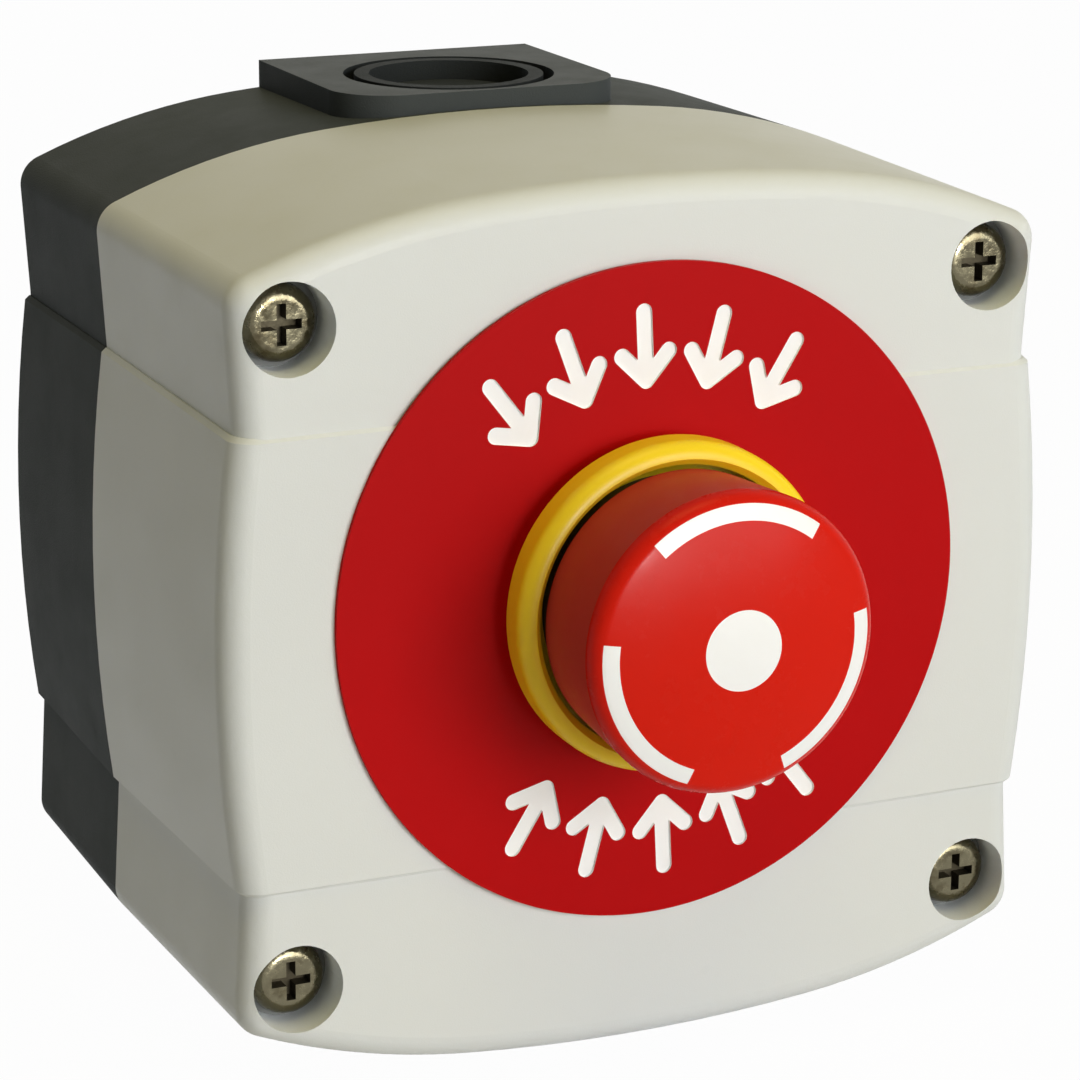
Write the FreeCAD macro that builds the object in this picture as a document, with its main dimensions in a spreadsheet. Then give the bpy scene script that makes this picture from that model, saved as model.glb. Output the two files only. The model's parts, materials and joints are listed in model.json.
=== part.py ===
import FreeCAD, Part
import math
import os

import Sketcher

# A surface-mounted panic button for a wall. A dark rear box with cable knockouts carries a pale
# screwed cover, and the cover carries a red twist-to-release button on a yellow collar. Inside
# stand the button's contact block and a battery-powered transmitter board.
#
# The frame: X to the right, Z up, and the wall is the plane Y = 0. Everything stands in front of
# the wall, towards -Y. A depth is a distance from the wall, so a point at depth d has Y = -d.
# A height is measured from the middle of the box. All lengths are in millimetres.

SIZES = {
    # Outline of the box, seen from the front
    "box_width": 85.0,
    "box_height": 85.0,
    "side_bow": 1.2,
    "crown_rise": 7.3,
    "crown_radius": 180.0,
    "crown_reach": 18.0,
    "post_slant": 0.8,
    "corner_round": 3.0,
    # The proud band round the middle of the box
    "band_height": 44.0,
    "band_step": 0.5,
    "band_face_step": 0.25,
    "band_bevel": 0.4,
    # Depths and walls
    "box_depth": 64.0,
    "base_depth": 27.0,
    "draft_angle": 0.8,
    "front_round": 2.5,
    "side_wall": 3.0,
    "back_wall": 2.5,
    "front_wall": 3.0,
    # Corner screws and the bosses that take them
    "screw_inset_x": 6.1,
    "screw_inset_z": 4.2,
    "recess_radius": 4.3,
    "recess_depth": 5.0,
    "boss_wall": 1.1,
    "screw_clear_radius": 2.3,
    "pilot_radius": 1.95,
    "pilot_depth": 14.0,
    "screw_radius": 1.9,
    "screw_tip": 2.0,
    "screw_grip": 12.0,
    "screw_head_radius": 3.6,
    "screw_head_rim": 1.2,
    "screw_head_height": 2.5,
    "screw_crown": 1.4,
    "cross_reach": 1.9,
    "cross_half_width": 0.45,
    "cross_depth": 1.5,
    # Seal between the box and its cover
    "seal_margin": 0.8,
    "seal_width": 1.4,
    "seal_thickness": 0.9,
    "tongue_height": 0.5,
    "tongue_clearance": 0.1,
    # Knockout plateaus at the top and the bottom
    "plateau_width": 30.0,
    "plateau_rise": 1.8,
    "plateau_gap": 0.6,
    "plateau_round": 6.0,
    "knockout_depth": 15.0,
    "knockout_large": 10.7,
    "knockout_small": 8.1,
    "knockout_groove": 1.1,
    "knockout_cut": 2.2,
    "knockout_dish": 1.8,
    "knockout_plate": 2.8,
    "knockout_relief": 11.4,
    # Wall fixings
    "wall_hole_x": 54.0,
    "wall_hole_z": 50.0,
    "wall_hole_radius": 3.0,
    "wall_boss_radius": 5.0,
    "wall_boss_height": 1.5,
    # Label and push button, on one axis a little above the middle of the box
    "button_rise": 2.9,
    "panel_hole_radius": 11.15,
    "key_half_width": 1.5,
    "key_reach": 0.85,
    "key_clearance": 0.1,
    "label_radius": 31.5,
    "label_thickness": 0.5,
    "collar_bore": 11.1,
    "collar_foot": 14.3,
    "collar_radius": 15.8,
    "collar_height": 5.5,
    "collar_waist": 2.0,
    "collar_floor": 1.2,
    "collar_inside": 13.65,
    "collar_lip": 1.5,
    "ring_seal_inner": 11.8,
    "ring_seal_outer": 13.5,
    "ring_seal_height": 0.5,
    "bush_radius": 10.95,
    "bush_length": 19.7,
    "bush_flange_radius": 11.9,
    "bush_flange": 1.2,
    "bush_bore": 8.0,
    "bush_ledge": 2.0,
    "bush_ledge_bore": 6.1,
    "nut_radius": 14.5,
    "nut_height": 4.5,
    "nut_notch_radius": 1.4,
    "nut_notches": 8,
    "nut_play": 0.05,
    "washer_thickness": 0.8,
    # Button head
    "button_travel": 3.6,
    "button_gap": 0.3,
    "head_height": 19.0,
    "head_skirt_radius": 13.3,
    "head_radius": 14.1,
    "head_rim": 1.7,
    "head_dome_radius": 60.0,
    "head_wall": 1.1,
    "head_face_wall": 2.9,
    "hub_radius": 4.6,
    # Plunger, spindle and their springs and rings
    "sleeve_radius": 6.0,
    "sleeve_bore": 3.58,
    "sleeve_tail": 1.5,
    "sleeve_flange_radius": 7.85,
    "sleeve_flange": 1.5,
    "stop_ring_radius": 8.4,
    "stop_ring_bore": 6.3,
    "stop_ring_thickness": 0.8,
    "stop_ring_depth": 2.0,
    "ring_play": 0.05,
    "latch_wire": 0.4,
    "latch_mean_radius": 8.45,
    "latch_depth": 5.9,
    "latch_opening": 40.0,
    "spindle_radius": 3.5,
    "spindle_tail": 1.5,
    "clip_radius": 5.2,
    "clip_thickness": 0.8,
    "clip_play": 0.1,
    "clip_groove": 0.6,
    "spring_wire": 0.4,
    "return_spring_radius": 7.0,
    "return_spring_turns": 5.0,
    "twist_spring_radius": 5.35,
    "twist_spring_wire": 0.35,
    "twist_spring_turns": 6.0,
    # Contact block behind the button
    "adapter_radius": 13.4,
    "adapter_height": 11.5,
    "adapter_grip": 4.0,
    "adapter_bore": 7.0,
    "adapter_play": 0.05,
    "adapter_arm_half_width": 4.0,
    "adapter_arm": 1.5,
    "adapter_arm_length": 5.5,
    "adapter_plate": 2.5,
    "block_half_width": 6.0,
    "block_half_height": 17.0,
    "block_depth": 24.0,
    "block_wall": 1.2,
    "contact_radius": 2.5,
    "contact_play": 0.1,
    "contact_reach": 0.1,
    "contact_shaft": 14.5,
    "contact_pin_radius": 1.2,
    "contact_pin": 8.8,
    "guide_wall": 0.45,
    "guide_overlap": 1.0,
    "strip_half_width": 2.6,
    "strip_thickness": 0.8,
    "bridge_half_length": 9.0,
    "bridge_gap": 0.1,
    "fixed_inner": 6.0,
    "contact_spring_radius": 2.2,
    "contact_spring_wire": 0.3,
    "contact_spring_turns": 5.0,
    "terminal_place": 12.0,
    "terminal_head_radius": 2.2,
    "terminal_head": 2.0,
    "terminal_shank": 1.3,
    "terminal_length": 5.0,
    "terminal_play": 0.05,
    "terminal_access": 2.5,
    "clamp_half_width": 2.4,
    "clamp_thickness": 1.5,
    "wire_hole_radius": 1.1,
    # Transmitter board on four posts
    "board_width": 46.0,
    "board_height": 38.0,
    "board_thickness": 1.6,
    "board_corner": 2.0,
    "board_hole_inset": 3.0,
    "board_hole_radius": 1.3,
    "post_radius": 2.6,
    "post_height": 3.5,
    "post_pilot_radius": 1.05,
    "post_pilot_depth": 3.2,
    "board_screw_radius": 1.0,
    "board_screw_head": 2.2,
    "board_screw_head_height": 1.4,
    "board_screw_grip": 2.8,
    "battery_inset": 11.5,
    "battery_z": -5.0,
    "battery_radius": 10.0,
    "battery_thickness": 3.2,
    "battery_edge": 0.3,
    "cradle_clearance": 0.2,
    "cradle_wall": 1.2,
    "cradle_floor": 1.0,
    "cradle_rise": 2.8,
    "cradle_gap": 7.0,
    "strap_half_width": 2.5,
    "strap_metal": 0.4,
    "strap_play": 0.1,
    "strap_foot": 1.4,
    "radio_inset": 12.0,
    "radio_z": -9.5,
    "radio_width": 12.0,
    "radio_height": 10.0,
    "radio_board": 0.8,
    "radio_margin": 0.8,
    "radio_can": 1.5,
    "radio_pad_radius": 0.4,
    "radio_pad_pitch": 1.6,
    "radio_pads": 5,
    "antenna_x": -6.0,
    "antenna_z": 15.6,
    "antenna_depth": 3.4,
    "antenna_radius": 2.2,
    "antenna_wire": 0.35,
    "antenna_length": 15.0,
    "antenna_turns": 6.0,
    "chip_x": 6.0,
    "chip_z": 6.0,
    "chip_width": 7.0,
    "chip_thickness": 1.2,
    "capacitor_x": -3.0,
    "capacitor_z": 9.0,
    "capacitor_radius": 2.0,
    "capacitor_height": 4.5,
    "capacitor_round": 0.3,
    "resistor_inset": 4.0,
    "resistor_z": 10.5,
    "resistor_pitch": 2.4,
    "resistor_length": 2.0,
    "resistor_width": 1.2,
    "resistor_height": 0.6,
    "resistor_count": 4,
    "wire_block_inset": 5.0,
    "wire_block_width": 8.0,
    "wire_block_height": 10.4,
    "wire_block_depth": 9.0,
    "wire_block_bevel": 1.6,
    "wire_block_face": 6.4,
    "wire_pitch": 5.08,
    "wire_entry_depth": 4.4,
    "wire_entry_radius": 1.2,
    "wire_entry_length": 5.0,
    "wire_screw_radius": 1.7,
    "wire_screw_height": 2.4,
    "wire_screw_slot": 0.35,
    "wire_screw_slot_depth": 0.8,
    "wire_radius": 0.75,
    "wire_play": 0.15,
}


class Dim:
    """A size that knows both its value and its formula in the sheet."""

    def __init__(self, value, text):
        self.value = value
        self.text = text

    def __add__(self, other):
        other = dim(other)
        return Dim(self.value + other.value, f"({self.text} + {other.text})")

    def __sub__(self, other):
        other = dim(other)
        return Dim(self.value - other.value, f"({self.text} - {other.text})")

    def __mul__(self, other):
        other = dim(other)
        return Dim(self.value * other.value, f"({self.text} * {other.text})")

    def __truediv__(self, other):
        other = dim(other)
        return Dim(self.value / other.value, f"({self.text} / {other.text})")

    def __radd__(self, other):
        return dim(other) + self

    def __rsub__(self, other):
        return dim(other) - self

    def __rmul__(self, other):
        return dim(other) * self

    def __neg__(self):
        return self if self.text == "0" else Dim(-self.value, f"(-1 * {self.text})")


def dim(number):
    """Make a size of a plain number, and leave a size as it is."""
    if isinstance(number, Dim):
        return number
    return Dim(float(number), repr(number))


def root(size):
    """The square root of a size."""
    return Dim(math.sqrt(size.value), f"sqrt({size.text})")


doc = FreeCAD.newDocument("panic_button")
sheet = doc.addObject("Spreadsheet::Sheet", "Sheet")


class Sizes:
    """Every size of the sheet, by its own name."""


size = Sizes()
for row, (alias, number) in enumerate(SIZES.items(), start=1):
    sheet.set(f"A{row}", str(number))
    sheet.setAlias(f"A{row}", alias)
    setattr(size, alias, Dim(float(number), f"Sheet.{alias}"))
doc.recompute()


# Helpers that tie objects, sketches and features to the sheet


def bind(item, path, amount):
    """Tie one property of an object to the sheet."""
    item.setExpression(path, dim(amount).text)


def side_of(sign, amount):
    """A size on one side of the middle: sign is 1 or -1."""
    return amount if sign > 0 else -amount


class Drawing:
    """A sketch on one of a body's own planes, with every point held from the sketch's origin."""

    def __init__(self, body, name, plane, offset=0):
        self.sketch = body.newObject("Sketcher::SketchObject", name)
        found = [item for item in body.Origin.OriginFeatures if item.Role == plane]
        self.sketch.AttachmentSupport = [(found[0], "")]
        self.sketch.MapMode = "FlatFace"
        bind(self.sketch, "AttachmentOffset.Base.z", offset)

    def tie(self, kind, *where, amount):
        """Add one sized constraint and tie it to the sheet."""
        index = self.sketch.addConstraint(Sketcher.Constraint(kind, *where, amount.value))
        bind(self.sketch, f"Constraints[{index}]", amount)

    def hold(self, curve, point, x, y):
        """Hold one point of a curve at its distances from the sketch's origin."""
        for kind, axis, amount in (("DistanceX", -2, dim(x)), ("DistanceY", -1, dim(y))):
            if amount.text == "0":
                self.sketch.addConstraint(Sketcher.Constraint("PointOnObject", curve, point, axis))
            elif amount.value < 0:
                self.tie(kind, curve, point, -1, 1, amount=-amount)
            else:
                self.tie(kind, -1, 1, curve, point, amount=amount)

    def circle(self, x, y, radius):
        """Draw a circle."""
        centre = FreeCAD.Vector(dim(x).value, dim(y).value, 0)
        shape = Part.Circle(centre, FreeCAD.Vector(0, 0, 1), dim(radius).value)
        curve = self.sketch.addGeometry(shape, False)
        self.hold(curve, 3, x, y)
        self.tie("Radius", curve, amount=dim(radius))

    def closed(self, corners):
        """Draw a closed outline. A corner (x, y) ends a straight line; (x, y, radius) ends an arc
        that turns left, or right where the radius is negative."""
        corners = [[dim(part) for part in corner] for corner in corners]
        ends = []
        for index, corner in enumerate(corners):
            before = corners[index - 1]
            start = FreeCAD.Vector(before[0].value, before[1].value, 0)
            stop = FreeCAD.Vector(corner[0].value, corner[1].value, 0)
            if len(corner) == 2:
                curve = self.sketch.addGeometry(Part.LineSegment(start, stop), False)
                ends.append((curve, 1, 2))
                continue
            curve = self.sketch.addGeometry(arc_between(start, stop, corner[2].value), False)
            ends.append((curve, 1, 2) if corner[2].value > 0 else (curve, 2, 1))
            radius = corner[2] if corner[2].value > 0 else -corner[2]
            self.tie("Radius", curve, amount=radius)
        for index, (curve, _, last) in enumerate(ends):
            following = ends[(index + 1) % len(ends)]
            self.sketch.addConstraint(
                Sketcher.Constraint("Coincident", curve, last, following[0], following[1]))
            self.hold(curve, last, corners[index][0], corners[index][1])


def arc_between(start, stop, radius):
    """The short arc from start to stop: to the left for a radius above zero, else to the right."""
    chord = stop - start
    middle = (start + stop) * 0.5
    rise = math.sqrt(max(radius * radius - chord.Length * chord.Length / 4, 0.0))
    left = FreeCAD.Vector(-chord.y, chord.x, 0).normalize()
    turn = 1 if radius > 0 else -1
    centre = middle + left * (rise * turn)
    first, last = (start, stop) if turn > 0 else (stop, start)
    angles = [math.atan2(point.y - centre.y, point.x - centre.x) for point in (first, last)]
    ring = Part.Circle(centre, FreeCAD.Vector(0, 0, 1), abs(radius))
    return Part.ArcOfCircle(ring, angles[0], angles[1])


def new_body(name):
    """A body made of features, named for the piece that it becomes."""
    return doc.addObject("PartDesign::Body", name)


def padded(body, drawing, length, taper=None, backwards=False):
    """Pad a drawing forwards from its plane, or backwards; a taper narrows it as it goes."""
    feature = body.newObject("PartDesign::Pad", f"{body.Name}_pad")
    feature.Profile = drawing.sketch
    feature.Reversed = backwards
    bind(feature, "Length", length)
    if taper is not None:
        bind(feature, "TaperAngle", -taper)
    doc.recompute()
    return feature


def pocketed(body, drawing, depth, backwards=True):
    """Cut a drawing out of a body, backwards from its plane or forwards."""
    before = body.Shape.Volume
    feature = body.newObject("PartDesign::Pocket", f"{body.Name}_pocket")
    feature.Profile = drawing.sketch
    feature.Reversed = not backwards
    bind(feature, "Length", depth)
    doc.recompute()
    if not body.Shape.Volume < before:
        raise ValueError(f"{feature.Name} cuts nothing")
    return feature


def turned(name, corners, rise=0):
    """A piece turned about the depth axis. Its corners are (radius, depth), with an arc's radius
    third where the corner ends an arc."""
    body = new_body(name)
    drawing = Drawing(body, f"{name}_profile", "XY_Plane")
    drawing.closed([(corner[0], -dim(corner[1]), *corner[2:]) for corner in corners])
    feature = body.newObject("PartDesign::Revolution", f"{name}_turn")
    feature.Profile = drawing.sketch
    feature.ReferenceAxis = (drawing.sketch, ["V_Axis"])
    feature.Angle = 360
    bind(body, "Placement.Base.z", rise)
    doc.recompute()
    return body


def edges_of(feature, test):
    """The names of the edges of a feature that pass a test."""
    edges = enumerate(feature.Shape.Edges, start=1)
    return [f"Edge{index}" for index, edge in edges if test(edge)]


def rounded(body, feature, test, radius, kind="Fillet"):
    """Round or bevel the edges of a feature that pass a test."""
    names = edges_of(feature, test)
    if not names:
        raise ValueError(f"{body.Name} has no edge to round")
    result = body.newObject(f"PartDesign::{kind}", f"{body.Name}_{kind.lower()}")
    result.Base = (feature, names)
    bind(result, "Radius" if kind == "Fillet" else "Size", radius)
    doc.recompute()
    return result


def place(item, x, y, z):
    """Hold an object's place by the sheet."""
    for axis, amount in (("x", x), ("y", y), ("z", z)):
        bind(item, f"Placement.Base.{axis}", amount)


TOWARDS_FRONT = FreeCAD.Rotation(FreeCAD.Vector(1, 0, 0), 90)
TOWARDS_RIGHT = FreeCAD.Rotation(FreeCAD.Vector(0, 1, 0), 90)


def bar(name, radius, start, length, x=0, z=0):
    """A round bar that points to the front, from its starting depth."""
    item = doc.addObject("Part::Cylinder", name)
    item.Placement = FreeCAD.Placement(FreeCAD.Vector(0, 0, 0), TOWARDS_FRONT)
    bind(item, "Radius", radius)
    bind(item, "Height", length)
    place(item, x, -dim(start), z)
    return item


def upright(name, radius, depth, z, length, x=0):
    """A round bar that stands along Z, from the height z upwards."""
    item = doc.addObject("Part::Cylinder", name)
    bind(item, "Radius", radius)
    bind(item, "Height", length)
    place(item, x, -dim(depth), z)
    return item


def sideways(name, radius, x, length, depth, z):
    """A round bar that lies along X, from its left end."""
    item = doc.addObject("Part::Cylinder", name)
    item.Placement = FreeCAD.Placement(FreeCAD.Vector(0, 0, 0), TOWARDS_RIGHT)
    bind(item, "Radius", radius)
    bind(item, "Height", length)
    place(item, x, -dim(depth), z)
    return item


def block(name, x, depth, z):
    """A box between two places along each axis: x, depth and z are (low, high) pairs."""
    item = doc.addObject("Part::Box", name)
    bind(item, "Length", dim(x[1]) - x[0])
    bind(item, "Width", dim(depth[1]) - depth[0])
    bind(item, "Height", dim(z[1]) - z[0])
    place(item, x[0], -dim(depth[1]), z[0])
    return item


def fused(name, items):
    """Join pieces into one."""
    item = doc.addObject("Part::MultiFuse", name)
    item.Shapes = items
    item.Refine = True
    doc.recompute()
    return item


def cut(name, base, tools):
    """Cut tools out of a base."""
    item = doc.addObject("Part::Cut", name)
    item.Base = base
    item.Tool = tools[0] if len(tools) == 1 else fused(f"{name}_tools", tools)
    item.Refine = True
    doc.recompute()
    return item


def grouped(name, items):
    """Keep separate solids together under one name."""
    item = doc.addObject("Part::Compound", name)
    item.Links = items
    doc.recompute()
    return item


def coil(name, radius, wire, start, length, turns):
    """A round wire wound about the button's axis, from one depth to another."""
    body = new_body(name)
    drawing = Drawing(body, f"{name}_section", "XY_Plane")
    drawing.circle(radius, -wire, wire)
    wound(body, drawing, "V_Axis", True, length - wire * 2, turns)
    place(body, 0, -start, size.button_rise)
    doc.recompute()
    return body


def wound(body, drawing, axis, backwards, length, turns):
    """Wind a section about one axis of its drawing."""
    feature = body.newObject("PartDesign::AdditiveHelix", f"{body.Name}_helix")
    feature.Profile = drawing.sketch
    feature.ReferenceAxis = (drawing.sketch, [axis])
    feature.Mode = "height-turns-angle"
    feature.Reversed = backwards
    bind(feature, "Height", length)
    bind(feature, "Turns", turns)
    doc.recompute()
    return feature


# Depths and places that several pieces share

corner_x = size.box_width / 2 - size.side_bow
corner_z = size.box_height / 2 - size.crown_rise
screw_x = corner_x - size.screw_inset_x
screw_z = corner_z - size.screw_inset_z
boss_radius = size.recess_radius + size.boss_wall
cover_depth = size.box_depth - size.base_depth
panel_back = size.box_depth - size.front_wall
label_front = size.box_depth + size.label_thickness
collar_seat = label_front + size.collar_floor
bush_front = collar_seat + size.bush_flange
bush_back = collar_seat - size.bush_length
face_front = size.box_depth + size.head_height
head_under = face_front - size.head_face_wall
skirt_end = collar_seat + size.button_travel + size.button_gap
sleeve_back = bush_back - size.sleeve_tail
spindle_back = sleeve_back - size.spindle_tail
sleeve_stop = bush_front - size.stop_ring_depth - size.stop_ring_thickness
sleeve_tip = bush_front + size.button_travel + size.button_gap
block_front = bush_back + size.adapter_grip - size.adapter_height
block_back = block_front - size.block_depth
contact_front = spindle_back - size.contact_reach
bridge_front = contact_front - size.contact_shaft
strip_back = bridge_front + size.bridge_gap
strip_front = strip_back + size.strip_thickness
contact_wire = strip_front + size.wire_play + size.wire_radius
board_back = size.back_wall + size.post_height
board_front = board_back + size.board_thickness
board_right = size.board_width / 2
board_hole_x = size.board_width - size.board_hole_inset * 2
board_hole_z = size.board_height - size.board_hole_inset * 2
battery_x = size.battery_inset - board_right
resistor_x = size.resistor_inset - board_right
radio_x = board_right - size.radio_inset
wire_block_x = board_right - size.wire_block_inset
cradle_floor = board_front + size.cradle_floor
battery_front = cradle_floor + size.battery_thickness
cradle_outside = size.battery_radius + size.cradle_clearance + size.cradle_wall
entry_wire = board_front + size.wire_entry_depth
wire_block_right = wire_block_x + size.wire_block_width / 2


# The box: its outline, its proud band and the spaces inside it


def box_outline(drawing, inset):
    """The front view of the box, moved inwards by an inset: a gentle arc across the middle of the
    top and the bottom, a tighter arc to each corner, and sides that lean in below the corners."""
    half_width = corner_x - inset
    half_height = corner_z - inset
    apex = size.box_height / 2 - inset
    radius = size.crown_radius - inset
    reach = size.crown_reach
    drop = radius - root(radius * radius - reach * reach)
    shoulder = apex - drop
    run = half_width - reach
    fall = shoulder - half_height
    slope_sine = reach / radius
    slope_cosine = root(1 - slope_sine * slope_sine)
    tight = (run * run + fall * fall) / (2 * (fall * slope_cosine - run * slope_sine))
    lean = half_width - size.post_slant
    step = size.band_height / 2
    drawing.closed([
        (-reach, -shoulder, tight),
        (reach, -shoulder, radius),
        (half_width, -half_height, tight),
        (lean, -step),
        (lean, step),
        (half_width, half_height),
        (reach, shoulder, tight),
        (-reach, shoulder, radius),
        (-half_width, half_height, tight),
        (-lean, step),
        (-lean, -step),
        (-half_width, -half_height),
    ])


def band_outline(drawing):
    """The proud band between the corner posts, with bowed ends."""
    top = size.band_height / 2
    edge = corner_x - size.post_slant + size.band_step
    bow = size.box_width / 2 - edge
    radius = (top * top + bow * bow) / (2 * bow)
    drawing.closed([(edge, -top), (edge, top, radius), (-edge, top), (-edge, -top, radius)])


def along_depth(edge):
    """Whether an edge runs from the back to the front."""
    ends = edge.Vertexes
    if len(ends) != 2:
        return False
    run = ends[1].Point - ends[0].Point
    return abs(run.y) > 0.9 * run.Length


def at_depth(depth):
    """A test for edges that lie in one plane across the depth."""
    return lambda edge: (abs(edge.BoundBox.YMin + depth) < 0.01
                         and abs(edge.BoundBox.YMax + depth) < 0.01)


def is_corner(edge):
    """Whether an edge is one of the box's four outer corners."""
    middle = edge.BoundBox.Center
    return (along_depth(edge)
            and abs(middle.x) > corner_x.value - size.corner_round.value
            and abs(middle.z) > size.band_height.value / 2 + size.corner_round.value)


def is_band_side(edge):
    """Whether an edge is where the band's face meets one of its bowed ends."""
    bounds = edge.BoundBox
    return at_depth(size.box_depth.value)(edge) and bounds.XLength < bounds.ZLength


def is_band_step(edge):
    """Whether an edge is where the band's top or bottom meets its face or its bowed ends."""
    bounds = edge.BoundBox
    top = size.band_height.value / 2
    level = min(abs(bounds.ZMin), abs(bounds.ZMax)) > top - 1
    on_parting = at_depth(size.base_depth.value)(edge)
    on_back = at_depth(0)(edge)
    return level and bounds.ZMin * bounds.ZMax > 0 and not on_parting and not on_back


def moulded_form(name, length, face_step, backwards):
    """One half of the box as a solid: the post form and the band form, both narrowing away from
    the parting plane. The front half has a rounded front edge, and its band stands proud."""
    post = new_body(f"{name}_posts")
    drawing = Drawing(post, f"{name}_posts_outline", "XZ_Plane", size.base_depth)
    box_outline(drawing, dim(0))
    pad = padded(post, drawing, length - face_step, size.draft_angle, backwards)
    post_form = rounded(post, pad, is_corner, size.corner_round)
    band = new_body(f"{name}_band")
    drawing = Drawing(band, f"{name}_band_outline", "XZ_Plane", size.base_depth)
    band_outline(drawing)
    band_form = padded(band, drawing, length, size.draft_angle, backwards)
    if not backwards:
        post_face = at_depth(size.box_depth.value - face_step.value)
        rounded(post, post_form, post_face, size.front_round)
        band_form = rounded(band, band_form, is_band_side, size.front_round)
    rounded(band, band_form, is_band_step, size.band_bevel, "Chamfer")
    return fused(f"{name}_form", [post, band])


def inside_form(name, inset, column_radius, start, length):
    """A prism of the box's outline moved inwards, with room left round the four screws."""
    prism = new_body(f"{name}_prism")
    drawing = Drawing(prism, f"{name}_outline", "XZ_Plane", start)
    box_outline(drawing, inset)
    padded(prism, drawing, length)
    columns = []
    for side, x in (("left", -screw_x), ("right", screw_x)):
        for level, z in (("low", -screw_z), ("high", screw_z)):
            columns.append(bar(f"{name}_{level}_{side}", column_radius, start, length, x, z))
    return cut(name, prism, columns)


def seal_loop(name, start, length, slack):
    """The closed strip of the seal, and of the groove and the tongue that hold it."""
    inner = size.seal_margin + slack
    outer = size.seal_margin + size.seal_width - slack
    outside = inside_form(f"{name}_outer", size.side_wall - outer, boss_radius - outer,
                          start, length)
    inside = inside_form(f"{name}_inner", size.side_wall - inner, boss_radius - inner,
                         start, length)
    return cut(name, outside, [inside])


def corner_bars(name, radius, start, length):
    """Four bars on the axes of the cover screws."""
    return [bar(f"{name}_{index}", radius, start, length, x, z)
            for index, (x, z) in enumerate(((-screw_x, -screw_z), (screw_x, -screw_z),
                                            (screw_x, screw_z), (-screw_x, screw_z)), start=1)]


def four_bars(name, spread_x, spread_z, radius, start, length):
    """Four bars on a rectangle about the middle of the box."""
    bars = []
    for side, x in (("left", -spread_x / 2), ("right", spread_x / 2)):
        for level, z in (("low", -spread_z / 2), ("high", spread_z / 2)):
            bars.append(bar(f"{name}_{level}_{side}", radius, start, length, x, z))
    return bars


def plateau(sign):
    """The flat raised pad for a cable entry, on top (sign 1) or underneath (sign -1)."""
    name = "top" if sign > 0 else "bottom"
    body = new_body(f"{name}_plateau")
    height = size.plateau_rise + size.side_wall
    level = side_of(sign, size.box_height / 2 + size.plateau_rise)
    drawing = Drawing(body, f"{name}_plateau_outline", "XY_Plane", level)
    half = size.plateau_width / 2
    front = size.base_depth - size.plateau_gap
    shoulder = front - size.plateau_round
    drawing.closed([
        (half, 0),
        (-half, 0),
        (-half, -shoulder),
        (size.plateau_round - half, -front, size.plateau_round),
        (half - size.plateau_round, -front),
        (half, -shoulder, size.plateau_round),
    ])
    padded(body, drawing, height, backwards=sign > 0)
    return body


def knockout_tools(sign):
    """The two ring grooves and the dished middle outside, and the relief inside, that leave a thin
    plate to break out for a large or a small cable entry."""
    name = "top" if sign > 0 else "bottom"
    surface = size.box_height / 2 + size.plateau_rise
    depth = size.knockout_depth
    groove = size.knockout_groove

    def disc(label, radius, low, high):
        start = low if sign > 0 else -high
        return upright(f"{name}_{label}", radius, depth, start, high - low)

    over = size.plateau_rise
    large = cut(f"{name}_large_ring", disc("large_disc", size.knockout_large,
                                           surface - size.knockout_cut, surface + over),
                [disc("large_core", size.knockout_large - groove,
                      surface - size.knockout_cut, surface + over)])
    small = cut(f"{name}_small_ring", disc("small_disc", size.knockout_small,
                                           surface - size.knockout_cut, surface + over),
                [disc("small_core", size.knockout_small - groove,
                      surface - size.knockout_cut, surface + over)])
    dish = disc("dish", size.knockout_small - groove, surface - size.knockout_dish, surface + over)
    relief = disc("relief", size.knockout_relief, surface - size.plateau_rise - size.side_wall
                  - size.plateau_rise, surface - size.knockout_plate)
    return [large, small, dish, relief]


def make_rear_box():
    """The dark rear box: back wall, side walls, screw bosses, seal groove, board posts, wall
    fixings and the knockouts at the top and the bottom."""
    form = moulded_form("rear", size.base_depth, dim(0), True)
    solid = fused("rear_solid", [form, plateau(1), plateau(-1)])
    cavity = inside_form("rear_cavity", size.side_wall, boss_radius, size.back_wall,
                         size.base_depth - size.back_wall)
    shell = cut("rear_shell", solid, [cavity] + knockout_tools(1) + knockout_tools(-1))
    foot = size.back_wall / 2
    posts = four_bars("post", board_hole_x, board_hole_z, size.post_radius, foot,
                      board_back - foot)
    collars = four_bars("wall_boss", size.wall_hole_x, size.wall_hole_z, size.wall_boss_radius,
                        foot, size.back_wall + size.wall_boss_height - foot)
    whole = fused("rear_whole", [shell] + posts + collars)
    holes = four_bars("wall_hole", size.wall_hole_x, size.wall_hole_z, size.wall_hole_radius,
                      0, size.back_wall + size.wall_boss_height)
    pilots = corner_bars("pilot", size.pilot_radius, size.base_depth - size.pilot_depth,
                         size.pilot_depth)
    board_pilots = four_bars("board_pilot", board_hole_x, board_hole_z,
                             size.post_pilot_radius, board_back - size.post_pilot_depth,
                             size.post_pilot_depth)
    groove_depth = size.seal_thickness + size.tongue_height
    groove = seal_loop("seal_groove", size.base_depth - groove_depth, groove_depth, dim(0))
    return cut("rear_box", whole, holes + pilots + board_pilots + [groove])


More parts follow.
